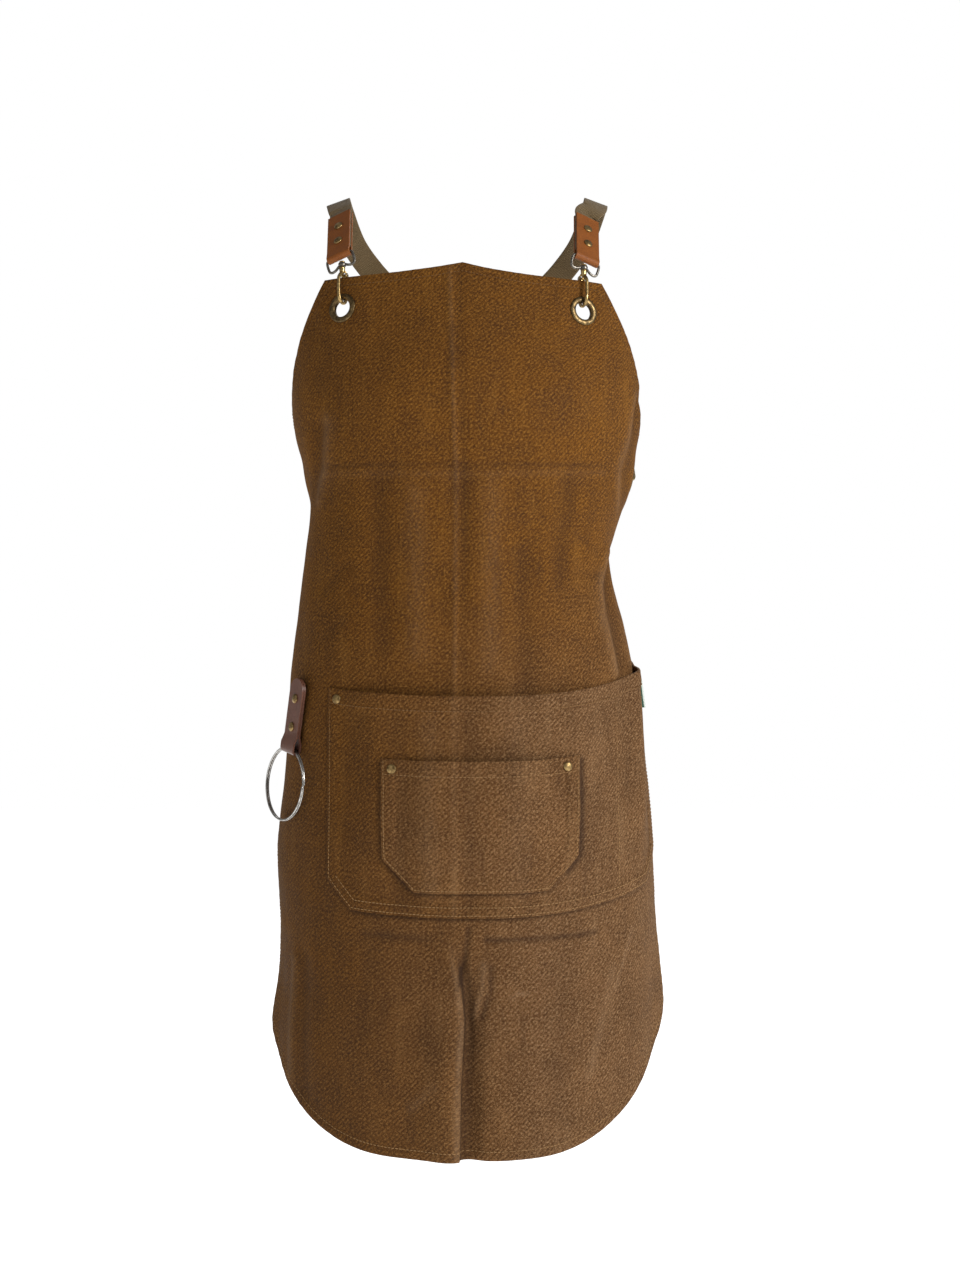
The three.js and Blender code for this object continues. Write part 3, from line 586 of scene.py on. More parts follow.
def waxed_canvas():
    """Twill canvas, golden brown where it is clean and greyer where wax and wear have dulled it, and paler
    towards its right side as painted light.
    """
    r = Recipe("waxed_canvas")
    place = r.places("UV")
    twill = r.bands(place, 2.3, "DIAGONAL", 1.1)
    yarn = r.bands(place, 1.5, "Y", 0.8)
    speck = r.noise(place, 1.15, 2, 0.65)
    grain = r.noise(place, 2.5, 3, 0.6)
    cloud = r.noise(place, 38, 4, 0.6, 0.4)
    streak = r.noise(r.places("UV", (1, 0.16, 1)), 14, 3, 0.6)
    tone = r.noise(place, 150, 2, 0.5)
    clouded = r.span(cloud, 0.3, 0.7)
    golden = r.mix(clouded, (0.094, 0.033, 0.0028), (0.146, 0.054, 0.0054))
    dull = r.mix(clouded, (0.098, 0.043, 0.0130), (0.162, 0.079, 0.031))
    patches = r.times(r.maths("SUBTRACT", tone, 0.5), 0.5)
    # Greyer where wax and wear have dulled the cloth, and paler on its right side as painted light; dull is
    # the paler colour.
    grey = r.span(r.plus(r.value("grey"), patches), 0.05, 0.95)
    colour = r.mix(grey, golden, dull)
    blend = r.plus(r.times(speck, 0.5), r.times(grain, 0.5))
    pale = r.mix(grey, (0.29, 0.130, 0.022), (0.33, 0.200, 0.100))
    colour = r.tint(colour, pale, blend, 0.5, 0.62, 0.72)
    colour = r.tint(colour, (0.028, 0.011, 0.003), blend, 0.5, 0.38, 0.8)
    colour = r.tint(colour, (0.030, 0.012, 0.004), twill, 0.45, 0.0, 0.42)
    colour = r.tint(colour, pale, streak, 0.54, 0.78, 0.16)
    colour = r.tint(colour, (0.040, 0.017, 0.006), streak, 0.44, 0.24, 0.34)
    scuffs = r.noise(r.places("UV", (1, 0.3, 1), 0.5), 5, 4, 0.7)
    worn = r.times(r.value("rub"), r.span(scuffs, 0.32, 0.62, 0.4, 1.4))
    colour = r.mix(r.maths("MINIMUM", worn, 0.8), colour, (0.34, 0.215, 0.12))
    # Painted shade with some dirt, from the crease attribute: the creases, the pockets' edges and the lower
    # left side.
    colour = r.mix(r.maths("MINIMUM", r.value("crease"), 0.9), colour, (0.026, 0.012, 0.006))
    height = r.plus(r.times(twill, 0.45), r.times(speck, 0.8))
    normal = r.bump(height, 0.5, 0.75)
    normal = r.bump(r.plus(grain, r.times(yarn, 0.2)), 0.7, 0.6, normal)
    normal = r.bump(cloud, 2.2, 0.5, normal)
    roughness = r.span(cloud, 0.3, 0.7, 0.72, 0.9)
    return r.finish(colour, roughness, normal, Sheen_Weight=0.05, Sheen_Roughness=0.5,
                    Sheen_Tint=(0.95, 0.68, 0.4, 1), Specular_IOR_Level=0.12)


def webbing():
    """Woven cotton webbing with ribs across it."""
    r = Recipe("webbing")
    place = r.places("UV")
    ribs = r.bands(place, 2.1, "Y", 0.7)
    rows = r.bands(place, 1.3, "X", 0.5)
    speck = r.noise(place, 1.0, 2, 0.6)
    cloud = r.noise(place, 16, 3, 0.6)
    colour = r.mix(cloud, (0.098, 0.062, 0.022), (0.165, 0.108, 0.046))
    colour = r.tint(colour, (0.060, 0.040, 0.018), ribs, 0.3, 0.0, 0.6)
    colour = r.tint(colour, (0.25, 0.175, 0.085), speck, 0.45, 0.7, 0.4)
    height = r.plus(r.times(ribs, rows), r.times(speck, 0.4))
    return r.finish(colour, r.span(speck, 0, 1, 0.78, 0.95), r.bump(height, 0.5, 0.8),
                    Sheen_Weight=0.2, Specular_IOR_Level=0.25)


def leather(name, dark, light, edge, shine, coat):
    """Leather with fine grain, cloudy dye and a few rubbed spots."""
    r = Recipe(name)
    place = r.places("Object")
    pores = r.cells(place, 1.1)
    grain = r.noise(place, 0.6, 3, 0.6)
    cloud = r.noise(place, 13, 4, 0.6, 0.5)
    scuff = r.noise(r.places("Object", (1, 1, 0.25)), 3.4, 3, 0.7)
    colour = r.mix(cloud, dark, light)
    colour = r.tint(colour, edge, pores, 0.5, 0.85, 0.3)
    colour = r.tint(colour, light, scuff, 0.6, 0.8, 0.35)
    colour = r.tint(colour, edge, scuff, 0.4, 0.22, 0.4)
    normal = r.bump(r.plus(pores, r.times(grain, 0.5)), 0.22, 0.55)
    return r.finish(colour, r.span(cloud, 0.25, 0.75, shine, shine + 0.16), normal,
                    Coat_Weight=coat, Coat_Roughness=0.35, Specular_IOR_Level=0.3)


def metal(name, bright, dull, low, high, spots):
    """Metal whose plating has worn bright in places and tarnished in others."""
    r = Recipe(name)
    place = r.places("Object")
    cloud = r.noise(place, 4, 4, 0.65, 0.6)
    fine = r.noise(place, 0.7, 3, 0.6)
    scratch = r.noise(r.places("Object", (1, 1, 0.12)), 0.9, 2, 0.7)
    colour = r.mix(r.span(cloud, 0.36, 0.64), dull, bright)
    colour = r.tint(colour, dull, fine, 0.55, 0.75, spots)
    roughness = r.plus(r.span(cloud, 0.3, 0.7, high, low), r.times(scratch, 0.08))
    normal = r.bump(r.plus(fine, r.times(scratch, 0.6)), 0.06, 0.5)
    return r.finish(colour, roughness, normal, Metallic=1.0)


def thread():
    """Waxed sewing thread with its twist."""
    r = Recipe("thread")
    place = r.places("Object")
    cloud = r.noise(place, 22, 3, 0.6)
    fine = r.noise(place, 0.5, 2, 0.5)
    split = r.node("ShaderNodeSeparateXYZ", {0: place})
    high = r.mix(cloud, (0.115, 0.050, 0.012), (0.185, 0.088, 0.024))
    low = r.mix(cloud, (0.20, 0.105, 0.036), (0.42, 0.245, 0.100))
    colour = r.mix(r.span(split.outputs[2], -0.45, -0.62), high, low)
    return r.finish(colour, r.span(fine, 0, 1, 0.6, 0.85), r.bump(fine, 0.12, 0.8), Specular_IOR_Level=0.3)


def label_tape():
    """Green woven tape with a pale edge, and no lettering."""
    r = Recipe("label")
    place = r.places("UV")
    split = r.node("ShaderNodeSeparateXYZ", {0: place})
    rows = r.bands(place, 0.8, "Y", 0.3)
    speck = r.noise(place, 0.7, 2, 0.6)
    edge = r.maths("GREATER_THAN", split.outputs[0], LABEL_TAPE["pale_from"] * MM)
    colour = r.mix(speck, (0.008, 0.040, 0.022), (0.024, 0.085, 0.050))
    colour = r.mix(edge, colour, (0.55, 0.60, 0.54))
    return r.finish(colour, r.span(speck, 0, 1, 0.75, 0.92), r.bump(rows, 0.2, 0.6), Sheen_Weight=0.2)


CANVAS_LOOK = waxed_canvas()
WEBBING_LOOK = webbing()
TAN_LEATHER = leather("tan_leather", (0.165, 0.044, 0.0045), (0.290, 0.088, 0.011), (0.060, 0.016, 0.003),
                      0.5, 0.0)
BROWN_LEATHER = leather("brown_leather", (0.098, 0.034, 0.018), (0.165, 0.068, 0.040),
                        (0.034, 0.012, 0.008), 0.30, 0.3)
BRASS = metal("antique_brass", (0.23, 0.155, 0.068), (0.055, 0.036, 0.017), 0.26, 0.5, 0.6)
RIVET_BRASS = metal("rivet_brass", (0.46, 0.31, 0.13), (0.12, 0.075, 0.030), 0.22, 0.46, 0.5)
BRIGHT_BRASS = metal("worn_brass", (0.62, 0.43, 0.17), (0.20, 0.13, 0.055), 0.2, 0.42, 0.4)
GUNMETAL = metal("gunmetal", (0.27, 0.245, 0.21), (0.085, 0.075, 0.062), 0.22, 0.45, 0.5)
STEEL = metal("steel", (0.62, 0.60, 0.57), (0.26, 0.25, 0.23), 0.14, 0.34, 0.3)
THREAD = thread()
LABEL = label_tape()


def dress(piece, material, replaced=(), body="apron"):
    """Gives a new piece its material, the body it rides on, and the CAD nodes it stands for."""
    piece.data.materials.clear()
    piece.data.materials.append(material)
    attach(piece, body)
    if replaced:
        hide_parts(*replaced)
    return piece


def dress_node(name, material, rounding):
    """Gives a CAD node a better material, and rounds its edges."""
    node = frame["nodes"][name]
    node.data.materials.clear()
    node.data.materials.append(material)
    soften(node, rounding)


# ---------------------------------------------------------------- panel
def half_width(v):
    """Half the width of the cut panel, before its hem is rounded."""
    t = np.clip((v - BIB_CORNER) / (ARMHOLE_END - BIB_CORNER), 0, 1)
    armhole = BIB_HALF + (PANEL_HALF - BIB_HALF) * t + ARMHOLE_BOW * t * (1 - t)
    return armhole - 6 * np.maximum(1 - v / BIB_CORNER, 0)


HEM_RUN = PANEL_HALF - HEM_FLAT_HALF
HEM_RISE = PANEL_LENGTH - HEM_START
HEM_RADIUS = (HEM_RUN**2 + HEM_RISE**2) / (2 * HEM_RISE)


def hem_v(u):
    """Where the hem is below the bib's top edge, at a distance u from the centre line."""
    over = np.clip(np.abs(u) - HEM_FLAT_HALF, 0, HEM_RUN)
    return PANEL_LENGTH - HEM_RADIUS + np.sqrt(HEM_RADIUS**2 - over**2)


def panel_edge_distance(u, v):
    slope = (half_width(v + 1) - half_width(v - 1)) / 2
    side = (half_width(v) - np.abs(u)) / np.hypot(1, slope)
    centre = PANEL_LENGTH - HEM_RADIUS
    over = np.abs(u) - HEM_FLAT_HALF
    round_part = HEM_RADIUS - np.hypot(over, v - centre)
    hem = np.where((over > 0) & (v > centre), round_part, hem_v(u) - v)
    return np.minimum(np.minimum(side, hem), v)


HEM_WIDTH = 11
HEM_STITCH = 8.6
EDGE_ROWS = [0, 0.5, 1.3, 2.6, 5, 7, 7.9, 8.6, 9.3, 10.2, 11, 12, 14, 18]


def stitch_groove(distance):
    return -0.42 * bell(distance, 1.1)


def shade_beside(size, u, v):
    """Painted shadow, with some dirt: the dark line where a pocket's sewn edge meets what it is sewn to."""
    edge, mouth = pocket_edge_distance(size, u, v)
    # Along a pocket's right edge the painted shadow is wider and darker.
    right = size["right"] - u < SEAM
    line = np.where(right, 0.85 * bell(edge + 2, 4.5), 0.6 * bell(edge, 2.8))
    return line * smooth(-2, 6, mouth) * (edge < 1.5)


def painted_shade_low_left(u, v):
    """Painted shade: how much darker the cloth is made low on its left side, away from the light."""
    return 0.24 * smooth(380, 660, v) * (1 - smooth(-130, 70, u))


def panel_faces(u, v):
    """The outer and inner faces of the panel: flat in front, with the hem folded to the back."""
    edge = panel_edge_distance(u, v)
    rounding = 0.45 * (1 - smooth(0, 1.4, edge))
    hem = 1 - smooth(HEM_WIDTH - 0.5, HEM_WIDTH + 1.2, edge)
    groove = stitch_groove(edge - HEM_STITCH)
    puckers = 0.22 * hem * freedom(u, v) * np.sin((u + v) / 2.7) * np.sin((u - v) / 4.1)
    outer = CANVAS / 2 + 0.25 * hem - rounding + groove + puckers
    inner = -CANVAS / 2 - 1.1 * hem * (0.08 + 0.92 * freedom(u, v)) + rounding
    return outer, inner


def panel():
    share = spread(-1, 1, [e / PANEL_HALF for e in EDGE_ROWS], 3.2 / PANEL_HALF)
    near_fold = np.arange(-16, 22, 1.2) / PANEL_HALF
    share = np.sort(np.concatenate([share[(share < near_fold[0]) | (share > near_fold[-1])], near_fold]))
    level = spread(0, PANEL_LENGTH, EDGE_ROWS, 3.2)
    v0, s = np.meshgrid(level, share, indexing="ij")
    u = s * half_width(v0)
    v = v0 - (PANEL_LENGTH - hem_v(u)) * smooth(480, PANEL_LENGTH, v0)
    outer, inner = panel_faces(u, v)
    # Greyer lower down, where wax and wear have dulled the cloth, and paler to the right as painted light.
    grey = smooth(200, 660, v) * (0.2 + 0.9 * smooth(-150, 150, u))
    # Painted shade: the dark line beside the pocket's sewn edges, and the cloth darker low on its left
    # side.
    shade = shade_beside(POCKET, u, v) + painted_shade_low_left(u, v)
    piece = cloth_sheet("apron_panel", u, v, outer, inner, grey, shade)
    dress(piece, CANVAS_LOOK, ["body_panel"])
    return piece


def punch(piece, cutters):
    """Cuts round holes through a sheet."""
    for name, (point, direction, radius) in cutters.items():
        profile = [(0, -6), (radius, -6), (radius, 6), (0, 6)]
        cutter = new_object(f"cut_{name}", *lathe(profile, point, direction, 48))
        modifier = piece.modifiers.new(name, "BOOLEAN")
        modifier.object = cutter
        modifier.solver = "FAST"
        bpy.context.view_layer.objects.active = piece
        with bpy.context.temp_override(object=piece, active_object=piece):
            bpy.ops.object.modifier_apply(modifier=name)
        bpy.data.objects.remove(cutter)


# ---------------------------------------------------------------- pockets
def swell(u, v, left, right, top, bottom, height):
    half = (right - left) / 2
    inward = half - np.abs(u - (left + right) / 2)
    down = 1 - smooth(0.5, 1, (v - top) / (bottom - top))
    return height * smooth(SEAM, min(60, half), inward) * down


def pocket_swell(u, v):
    left, right, top, bottom = (POCKET[key] for key in ("left", "right", "top", "bottom"))
    main = swell(u, v, left, POCKET_DIVIDER, top, bottom, POCKET_SWELL["main"])
    slot = swell(u, v, POCKET_DIVIDER, right, top, bottom, POCKET_SWELL["slot"])
    return np.where(u < POCKET_DIVIDER, main, slot)


def small_pocket_swell(u, v):
    left, right, top, bottom = (SMALL_POCKET[key] for key in ("left", "right", "top", "bottom"))
    return swell(u, v, left, right, top, bottom, POCKET_SWELL["small"])


def pocket_edge_distance(size, u, v):
    """The distance in from a pocket's stitched sides and bottom, and from its mouth."""
    side = np.minimum(u - size["left"], size["right"] - u)
    bottom = size["bottom"] - v
    corner = (side + bottom - size["chamfer"]) / math.sqrt(2)
    return np.minimum(np.minimum(side, bottom), corner), v - size["top"]


MOUTH_HEM = 16
MOUTH_STITCH = 14.5
EDGE_STITCH = 2.4
SECOND_STITCH = 10


def pocket_faces(size, u, v, base, lines):
    """The outer and inner faces of a pocket that lies on base, with its edges folded under."""
    edge, mouth = pocket_edge_distance(size, u, v)
    fold = 1 - smooth(HEM_WIDTH, HEM_WIDTH + 1.5, edge)
    hem = 1 - smooth(MOUTH_HEM, MOUTH_HEM + 1.5, mouth)
    double = np.maximum(fold, hem)
    rounding = 0.5 * (1 - smooth(0, 1.6, np.minimum(edge, mouth)))
    groove = sum(stitch_groove(edge - line) for line in lines) + stitch_groove(mouth - MOUTH_STITCH)
    puckers = 0.2 * double * np.sin((u + v) / 2.4) * np.sin((u - v) / 3.7)
    inner = base + 0.1
    outer = base + CANVAS + FOLD * double - rounding + groove + puckers
    return outer, inner


def pocket_grid(size, step):
    fine = [0, 0.6, 1.5, 2.4, 3.3, 5, 8, 9.6, 10.5, 11.5, 13, 15, 17, 20]
    level = spread(size["top"], size["bottom"], fine, step)
    share = spread(size["left"], size["right"], fine, step)
    v, u0 = np.meshgrid(level, share, indexing="ij")
    narrow = np.maximum(v - (size["bottom"] - size["chamfer"]), 0)
    middle = (size["left"] + size["right"]) / 2
    half = (size["right"] - size["left"]) / 2
    u = middle + (u0 - middle) * (half - narrow) / half
    return u, v


def pocket_base(u, v):
    return CANVAS / 2 + GAP + pocket_swell(u, v)


def small_pocket_base(u, v):
    return pocket_base(u, v) + CANVAS + GAP + small_pocket_swell(u, v)


def pockets():
    u, v = pocket_grid(POCKET, 3.4)
    divider = stitch_groove(u - POCKET_DIVIDER) * (v > POCKET["top"] + 2)
    outer, inner = pocket_faces(POCKET, u, v, pocket_base(u, v), (EDGE_STITCH, SECOND_STITCH))
    # Greyer cloth, paler to the right as painted light.
    grey = 0.15 + 0.9 * smooth(-130, 160, u)
    # Painted shade: the dark line beside the small pocket's sewn edges, and the cloth darker low on its
    # left side.
    shade = shade_beside(SMALL_POCKET, u, v) + painted_shade_low_left(u, v)
    large = cloth_sheet("large_pocket", u, v, outer + divider, inner, grey, shade)
    dress(large, CANVAS_LOOK, ["front_pocket"])
    u, v = pocket_grid(SMALL_POCKET, 3.2)
    outer, inner = pocket_faces(SMALL_POCKET, u, v, small_pocket_base(u, v), (EDGE_STITCH,))
    # The small pocket is greyer, and paler to the right as painted light.
    small = cloth_sheet("patch_pocket", u, v, outer, inner, 0.5 + 0.35 * smooth(-70, 100, u))
    dress(small, CANVAS_LOOK, ["small_pocket"])
    return large, small


# ---------------------------------------------------------------- stitching
STITCH = {"pitch": 3.6, "length": 2.7, "radius": 0.36, "sides": 6}


def stitch_row(points, height):
    """Stitches along a line of (u, v) points, standing height(u, v) off the panel's middle."""
    points = np.asarray(points, float)
    run = np.concatenate([[0], np.cumsum(np.hypot(*np.diff(points, axis=0).T))])
    middles = np.arange(STITCH["pitch"] / 2, run[-1], STITCH["pitch"])
    half = STITCH["length"] / 2
    radius = STITCH["radius"]
    sides = STITCH["sides"]
    profile = [(-0.5, 0.3), (-0.34, 0.9), (0, 1), (0.34, 0.9), (0.5, 0.3)]

    def at(distance):
        return np.interp(distance, run, points[:, 0]), np.interp(distance, run, points[:, 1])

    def lying(distance):
        u, v = at(distance)
        return cloth_at(u, v, height(u, v))

    heads = lying(np.minimum(middles + half, run[-1]))
    tails = lying(np.maximum(middles - half, 0))
    out = cloth_frame(*at(middles))["out"]
    along = heads - tails
    side = unit(np.cross(along, out))
    rings = []
    for place, size in profile:
        centre = tails + along * (place + 0.5) - out * radius * (1.1 if size < 0.5 else 0)
        for k in range(sides):
            turn = 2 * math.pi * k / sides
            rings.append(centre + radius * size * (math.cos(turn) * side + 0.8 * math.sin(turn) * out))
    vertices = np.stack(rings, 1)
    faces = tube_faces(len(profile), sides)
    count = vertices.shape[1]
    all_faces = [tuple(n * count + index for index in face) for n in range(len(middles)) for face in faces]
    return vertices.reshape(-1, 3), all_faces


def hem_line(inset):
    """The line that runs inset inside the panel's whole edge, from the top edge round and back."""
    v = np.linspace(inset, HEM_START - 4, 300)
    slope = (half_width(v + 1) - half_width(v - 1)) / 2
    side = half_width(v) - inset * np.hypot(1, slope)
    centre = PANEL_LENGTH - HEM_RADIUS
    start = math.atan2(HEM_START - 4 - centre, HEM_RUN - inset)
    turn = np.linspace(start, math.pi / 2, 80)
    arc_u = HEM_FLAT_HALF + (HEM_RADIUS - inset) * np.cos(turn)
    arc_v = centre + (HEM_RADIUS - inset) * np.sin(turn)
    right = np.stack([np.concatenate([side, arc_u]), np.concatenate([v, arc_v])], -1)
    left = right[::-1] * [-1, 1]
    top = np.stack([np.linspace(left[-1, 0], right[0, 0], 60), np.full(60, inset)], -1)
    return np.concatenate([right, left, top])


def pocket_line(size, inset):
    """The line inset inside a pocket's sides, chamfers and bottom."""
    left = size["left"] + inset
    right = size["right"] - inset
    bottom = size["bottom"] - inset
    cut = size["chamfer"] - inset * (2 - math.sqrt(2))
    corners = [(left, size["top"] + 1.5), (left, bottom - cut), (left + cut, bottom),
               (right - cut, bottom), (right, bottom - cut), (right, size["top"] + 1.5)]
    return dense(corners)


def mouth_line(size):
    """The line of stitches under a pocket's mouth."""
    v = size["top"] + MOUTH_STITCH
    return dense([(size["left"] + 3, v), (size["right"] - 3, v)])


def dense(corners):
    """The line through corners, with points about 4 mm apart."""
    points = []
    for (u0, v0), (u1, v1) in zip(corners[:-1], corners[1:]):
        count = max(int(math.hypot(u1 - u0, v1 - v0) / 4), 1)
        for k in range(count):
            points.append((u0 + (u1 - u0) * k / count, v0 + (v1 - v0) * k / count))
    return points + [corners[-1]]


def stitching():
    def on_front(u, v):
        return panel_faces(u, v)[0] + 0.35

    def on_back(u, v):
        return panel_faces(u, v)[1] - 0.1

    def on_pocket(u, v):
        return pocket_base(u, v) + POCKET_TOP + 0.05

    def on_divider(u, v):
        return pocket_base(u, v) + CANVAS

    def on_small_pocket(u, v):
        return small_pocket_base(u, v) + POCKET_TOP + 0.05

    low = POCKET["bottom"] - POCKET["chamfer"] - 6
    second = [point for point in pocket_line(POCKET, SECOND_STITCH) if point[1] > low]
    divider = dense([(POCKET_DIVIDER, POCKET["top"] + 2), (POCKET_DIVIDER, POCKET["bottom"] - 3)])
    groups = {
        "panel_stitching": [stitch_row(hem_line(HEM_STITCH), on_front),
                            stitch_row(hem_line(HEM_STITCH), on_back)],
        "pocket_stitching": [stitch_row(pocket_line(POCKET, EDGE_STITCH), on_pocket),
                             stitch_row(second, on_pocket),
                             stitch_row(mouth_line(POCKET), on_pocket),
                             stitch_row(divider, on_divider)],
        "patch_pocket_stitching": [stitch_row(pocket_line(SMALL_POCKET, EDGE_STITCH), on_small_pocket),
                                   stitch_row(mouth_line(SMALL_POCKET), on_small_pocket)],
    }
    return [dress(merged(name, rows), THREAD) for name, rows in groups.items()]


# ---------------------------------------------------------------- label
def label():
    """A tape that leans out of the pocket's right seam and curls a little."""
    u = POCKET["right"]
    v = LABEL_TAPE["v"]
    length = LABEL_TAPE["half_length"]
    width = LABEL_TAPE["half_width"]
    there = cloth_frame(u, v)
    seam = unit(cloth_point(u, v + length) - cloth_point(u, v - length))
    across = -np.cross(seam, there["out"])
    across = unit(across * (1 if across[1] > 0 else -1))
    lean = unit(0.55 * across + 0.83 * there["out"])
    middle = there["point"] + 1.4 * across + 1.5 * there["out"] + 5.5 * lean
    face = np.cross(lean, seam)
    rows, columns = 25, 9
    a = np.linspace(-length, length, rows)[:, None] + np.zeros(columns)
    b = np.linspace(-width, width, columns) + np.zeros((rows, 1))
    curl = 0.35 * np.sin(a / 6) * (b + width) / (2 * width)
    flat = middle + a[..., None] * seam + b[..., None] * lean
    points = [flat + (curl + side * LABEL_TAPE["half_thickness"])[..., None] * face for side in (1, -1)]
    uv = np.tile(np.stack([(b + width).ravel(), (a + length).ravel()], -1), (2, 1))
    vertices = np.concatenate([sheet.reshape(-1, 3) for sheet in points])
    piece = new_object("seam_label", vertices, closed_sheet_faces(rows, columns), uv)
    dress(piece, LABEL, ["label_tag"])


# ---------------------------------------------------------------- eyelets and rivets
def eyelets():
    hole, barrel, flange = EYELET["hole"], EYELET["barrel"], EYELET["flange"]
    face = CANVAS / 2 + GAP
    for seat in SEATS:
        where = "bib" if seat["place"] == "front" else "waist"
        name = f"{where}_eyelet_{side_name(seat['side'])}"
        turn = np.linspace(0, math.pi, 9)
        crown = [((hole + flange) / 2 + (flange - hole) / 2 * math.cos(t), face + 1.6 * math.sin(t) ** 0.8)
                 for t in turn]
        rim = [(hole, -face - 1.5), (hole + 0.35, -face - 1.9), (barrel, -face - 1.5), (barrel, face - 0.1),
               (flange - 0.4, face - 0.2)]
        profile = rim + crown + [(hole, -face - 1.5)]
        ring = merged(f"{name}_ring", [lathe(profile, seat["point"], seat["out"], 64)])
        dress(ring, BRASS, [name])
        washer = [(barrel + GAP, -face - 1.2), (flange - 1.2, -face - 0.9), (flange - 0.4, -face - 0.4),
                  (flange - 0.4, -face), (barrel + GAP, -face), (barrel + GAP, -face - 1.2)]
        back = merged(f"{name}_back", [lathe(washer, seat["point"], seat["out"], 64)])
        dress(back, BRASS, [f"{name}_washer"])


def rivet(name, point, direction, bottom, top):
    """A domed rivet: its rim stands a little off what it holds, and its back is a flat cap."""
    crown = [(4.6 * math.cos(t), top + 0.5 + 1.7 * math.sin(t)) for t in np.linspace(0, math.pi / 2, 9)]
    profile = [(0, bottom - 0.9), (3.5, bottom - 0.8), (3.8, bottom - 0.5), (3.8, bottom), (1.5, bottom),
               (1.5, top + 0.1), (4.3, top + 0.1), (4.6, top + 0.25)] + crown
    piece = merged(f"{name}_dome", [lathe(profile, point, direction, 32)])
    dress(piece, RIVET_BRASS, [name])


def pocket_rivets():
    for name, (u, v, raised) in POCKET_RIVETS.items():
        there = cloth_frame(u, v)
        top = float(pocket_base(np.array(u), np.array(v))) + POCKET_TOP
        rivet(name, there["point"], there["out"], -CANVAS / 2 - GAP, top)
    for name, (u, v) in SMALL_POCKET_RIVETS.items():
        there = cloth_frame(u, v)
        base = float(pocket_base(np.array(u), np.array(v)))
        top = float(small_pocket_base(np.array(u), np.array(v))) + POCKET_TOP
        rivet(name, there["point"], there["out"], base, top)


# ---------------------------------------------------------------- straps, tabs and snap hooks
SHOULDER_ROUTE = [
    [-127, -5, -9, -0.42, -0.35, 0.84],
    [-129.5, 13, 0, -0.33, 0.05, 0.94],
    [-127, 34, -8, -0.33, 0.45, 0.83],
    [-116, 60, -35, -0.3, 0.75, 0.6],
    [-98, 80, -58, -0.22, 0.9, 0.38],
    [-80, 87.5, -76.5, -0.22, 0.9, 0.38],
    [-62, 95, -95, -0.22, 0.9, 0.38],
    [-44, 102.5, -113.5, -0.22, 0.9, 0.38],
    [-26, 110, -132, -0.22, 0.9, 0.38],
]
CROSSING = [0, 113, -160, 0, 1, 0.04]
STRAP_OVER = 3
WAIST_ROUTE = [
    [40, 109.5, -180, 0.16, 0.98, 0],
    [78, 101, -200, 0.35, 0.93, 0],
]
WAIST_TAB_AIM = [98, 96, -212]
WAIST_TAB_OUT = [0.8, 0.6, 0]
FRONT_AIM = 0.1
WAIST_AIM = 1.05
FRONT_TAB_ALONG = [-0.03, 0.68, 0.73]
FRONT_TAB_OUT = [-0.475, -0.65, 0.587]


def flip(side):
    return np.array([side, 1, 1])


def hook_frame(seat):
    aim = FRONT_AIM if seat["place"] == "front" else WAIST_AIM
    up = unit(-math.cos(aim) * seat["down"] + seat["side"] * math.sin(aim) * seat["across"])
    return {"swivel": seat["point"] + HOOK["reach"] * up, "x": unit(np.cross(seat["out"], up)),
            "y": seat["out"], "z": up}


def tab_frame(seat):
    hook = hook_frame(seat)
    side = seat["side"]
    if seat["place"] == "front":
        along = np.array(FRONT_TAB_ALONG) * flip(-side)
        out = np.array(FRONT_TAB_OUT) * flip(-side)
    else:
        along = np.array(WAIST_TAB_AIM) * flip(side) - hook["swivel"]
        out = np.array(WAIST_TAB_OUT) * flip(side)
    along = unit(along)
    out = unit(out - along * out.dot(along))
    bar = unit(np.cross(along, out))
    bar = bar * (-1 if bar.dot(hook["x"]) < 0 else 1)
    upward = unit(hook["z"] - bar * hook["z"].dot(bar))
    return {"hook": hook, "along": along, "out": out, "bar": bar, "upward": upward,
            "foot": hook["swivel"] + BOW["height"] * upward}


def seat_of(side, place):
    return next(seat for seat in SEATS if seat["side"] == side and seat["place"] == place)


def strap_route(side):
    """The strap's points and facings, from its front tab over the shoulder to the far waist tab."""
    over = STRAP_OVER if side > 0 else 0
    hidden = [9, 30, 50, TAB_LENGTH + 1, TAB_LENGTH + 8]
    start = tab_frame(seat_of(side, "front"))
    end = tab_frame(seat_of(-side, "side"))
    mirror = flip(-side)
    stops = [(start["foot"] + start["along"] * d, start["out"]) for d in hidden]
    back = [(np.array(row[:3]) * mirror, np.array(row[3:]) * mirror) for row in SHOULDER_ROUTE]
    middle = (np.array(CROSSING[:3]) * mirror + [0, over, 0], np.array(CROSSING[3:]) * mirror)
    waist = [(np.array(row[:3]) * mirror, np.array(row[3:]) * mirror) for row in WAIST_ROUTE]
    back[-1] = (back[-1][0] + [0, over * 0.8, 0], back[-1][1])
    waist[0] = (waist[0][0] + [0, over * 0.8, 0], waist[0][1])
    stops += back + [middle] + waist
    stops += [(end["foot"] + end["along"] * d, end["out"]) for d in hidden[::-1]]
    return np.array([s[0] for s in stops]), np.array([s[1] for s in stops])


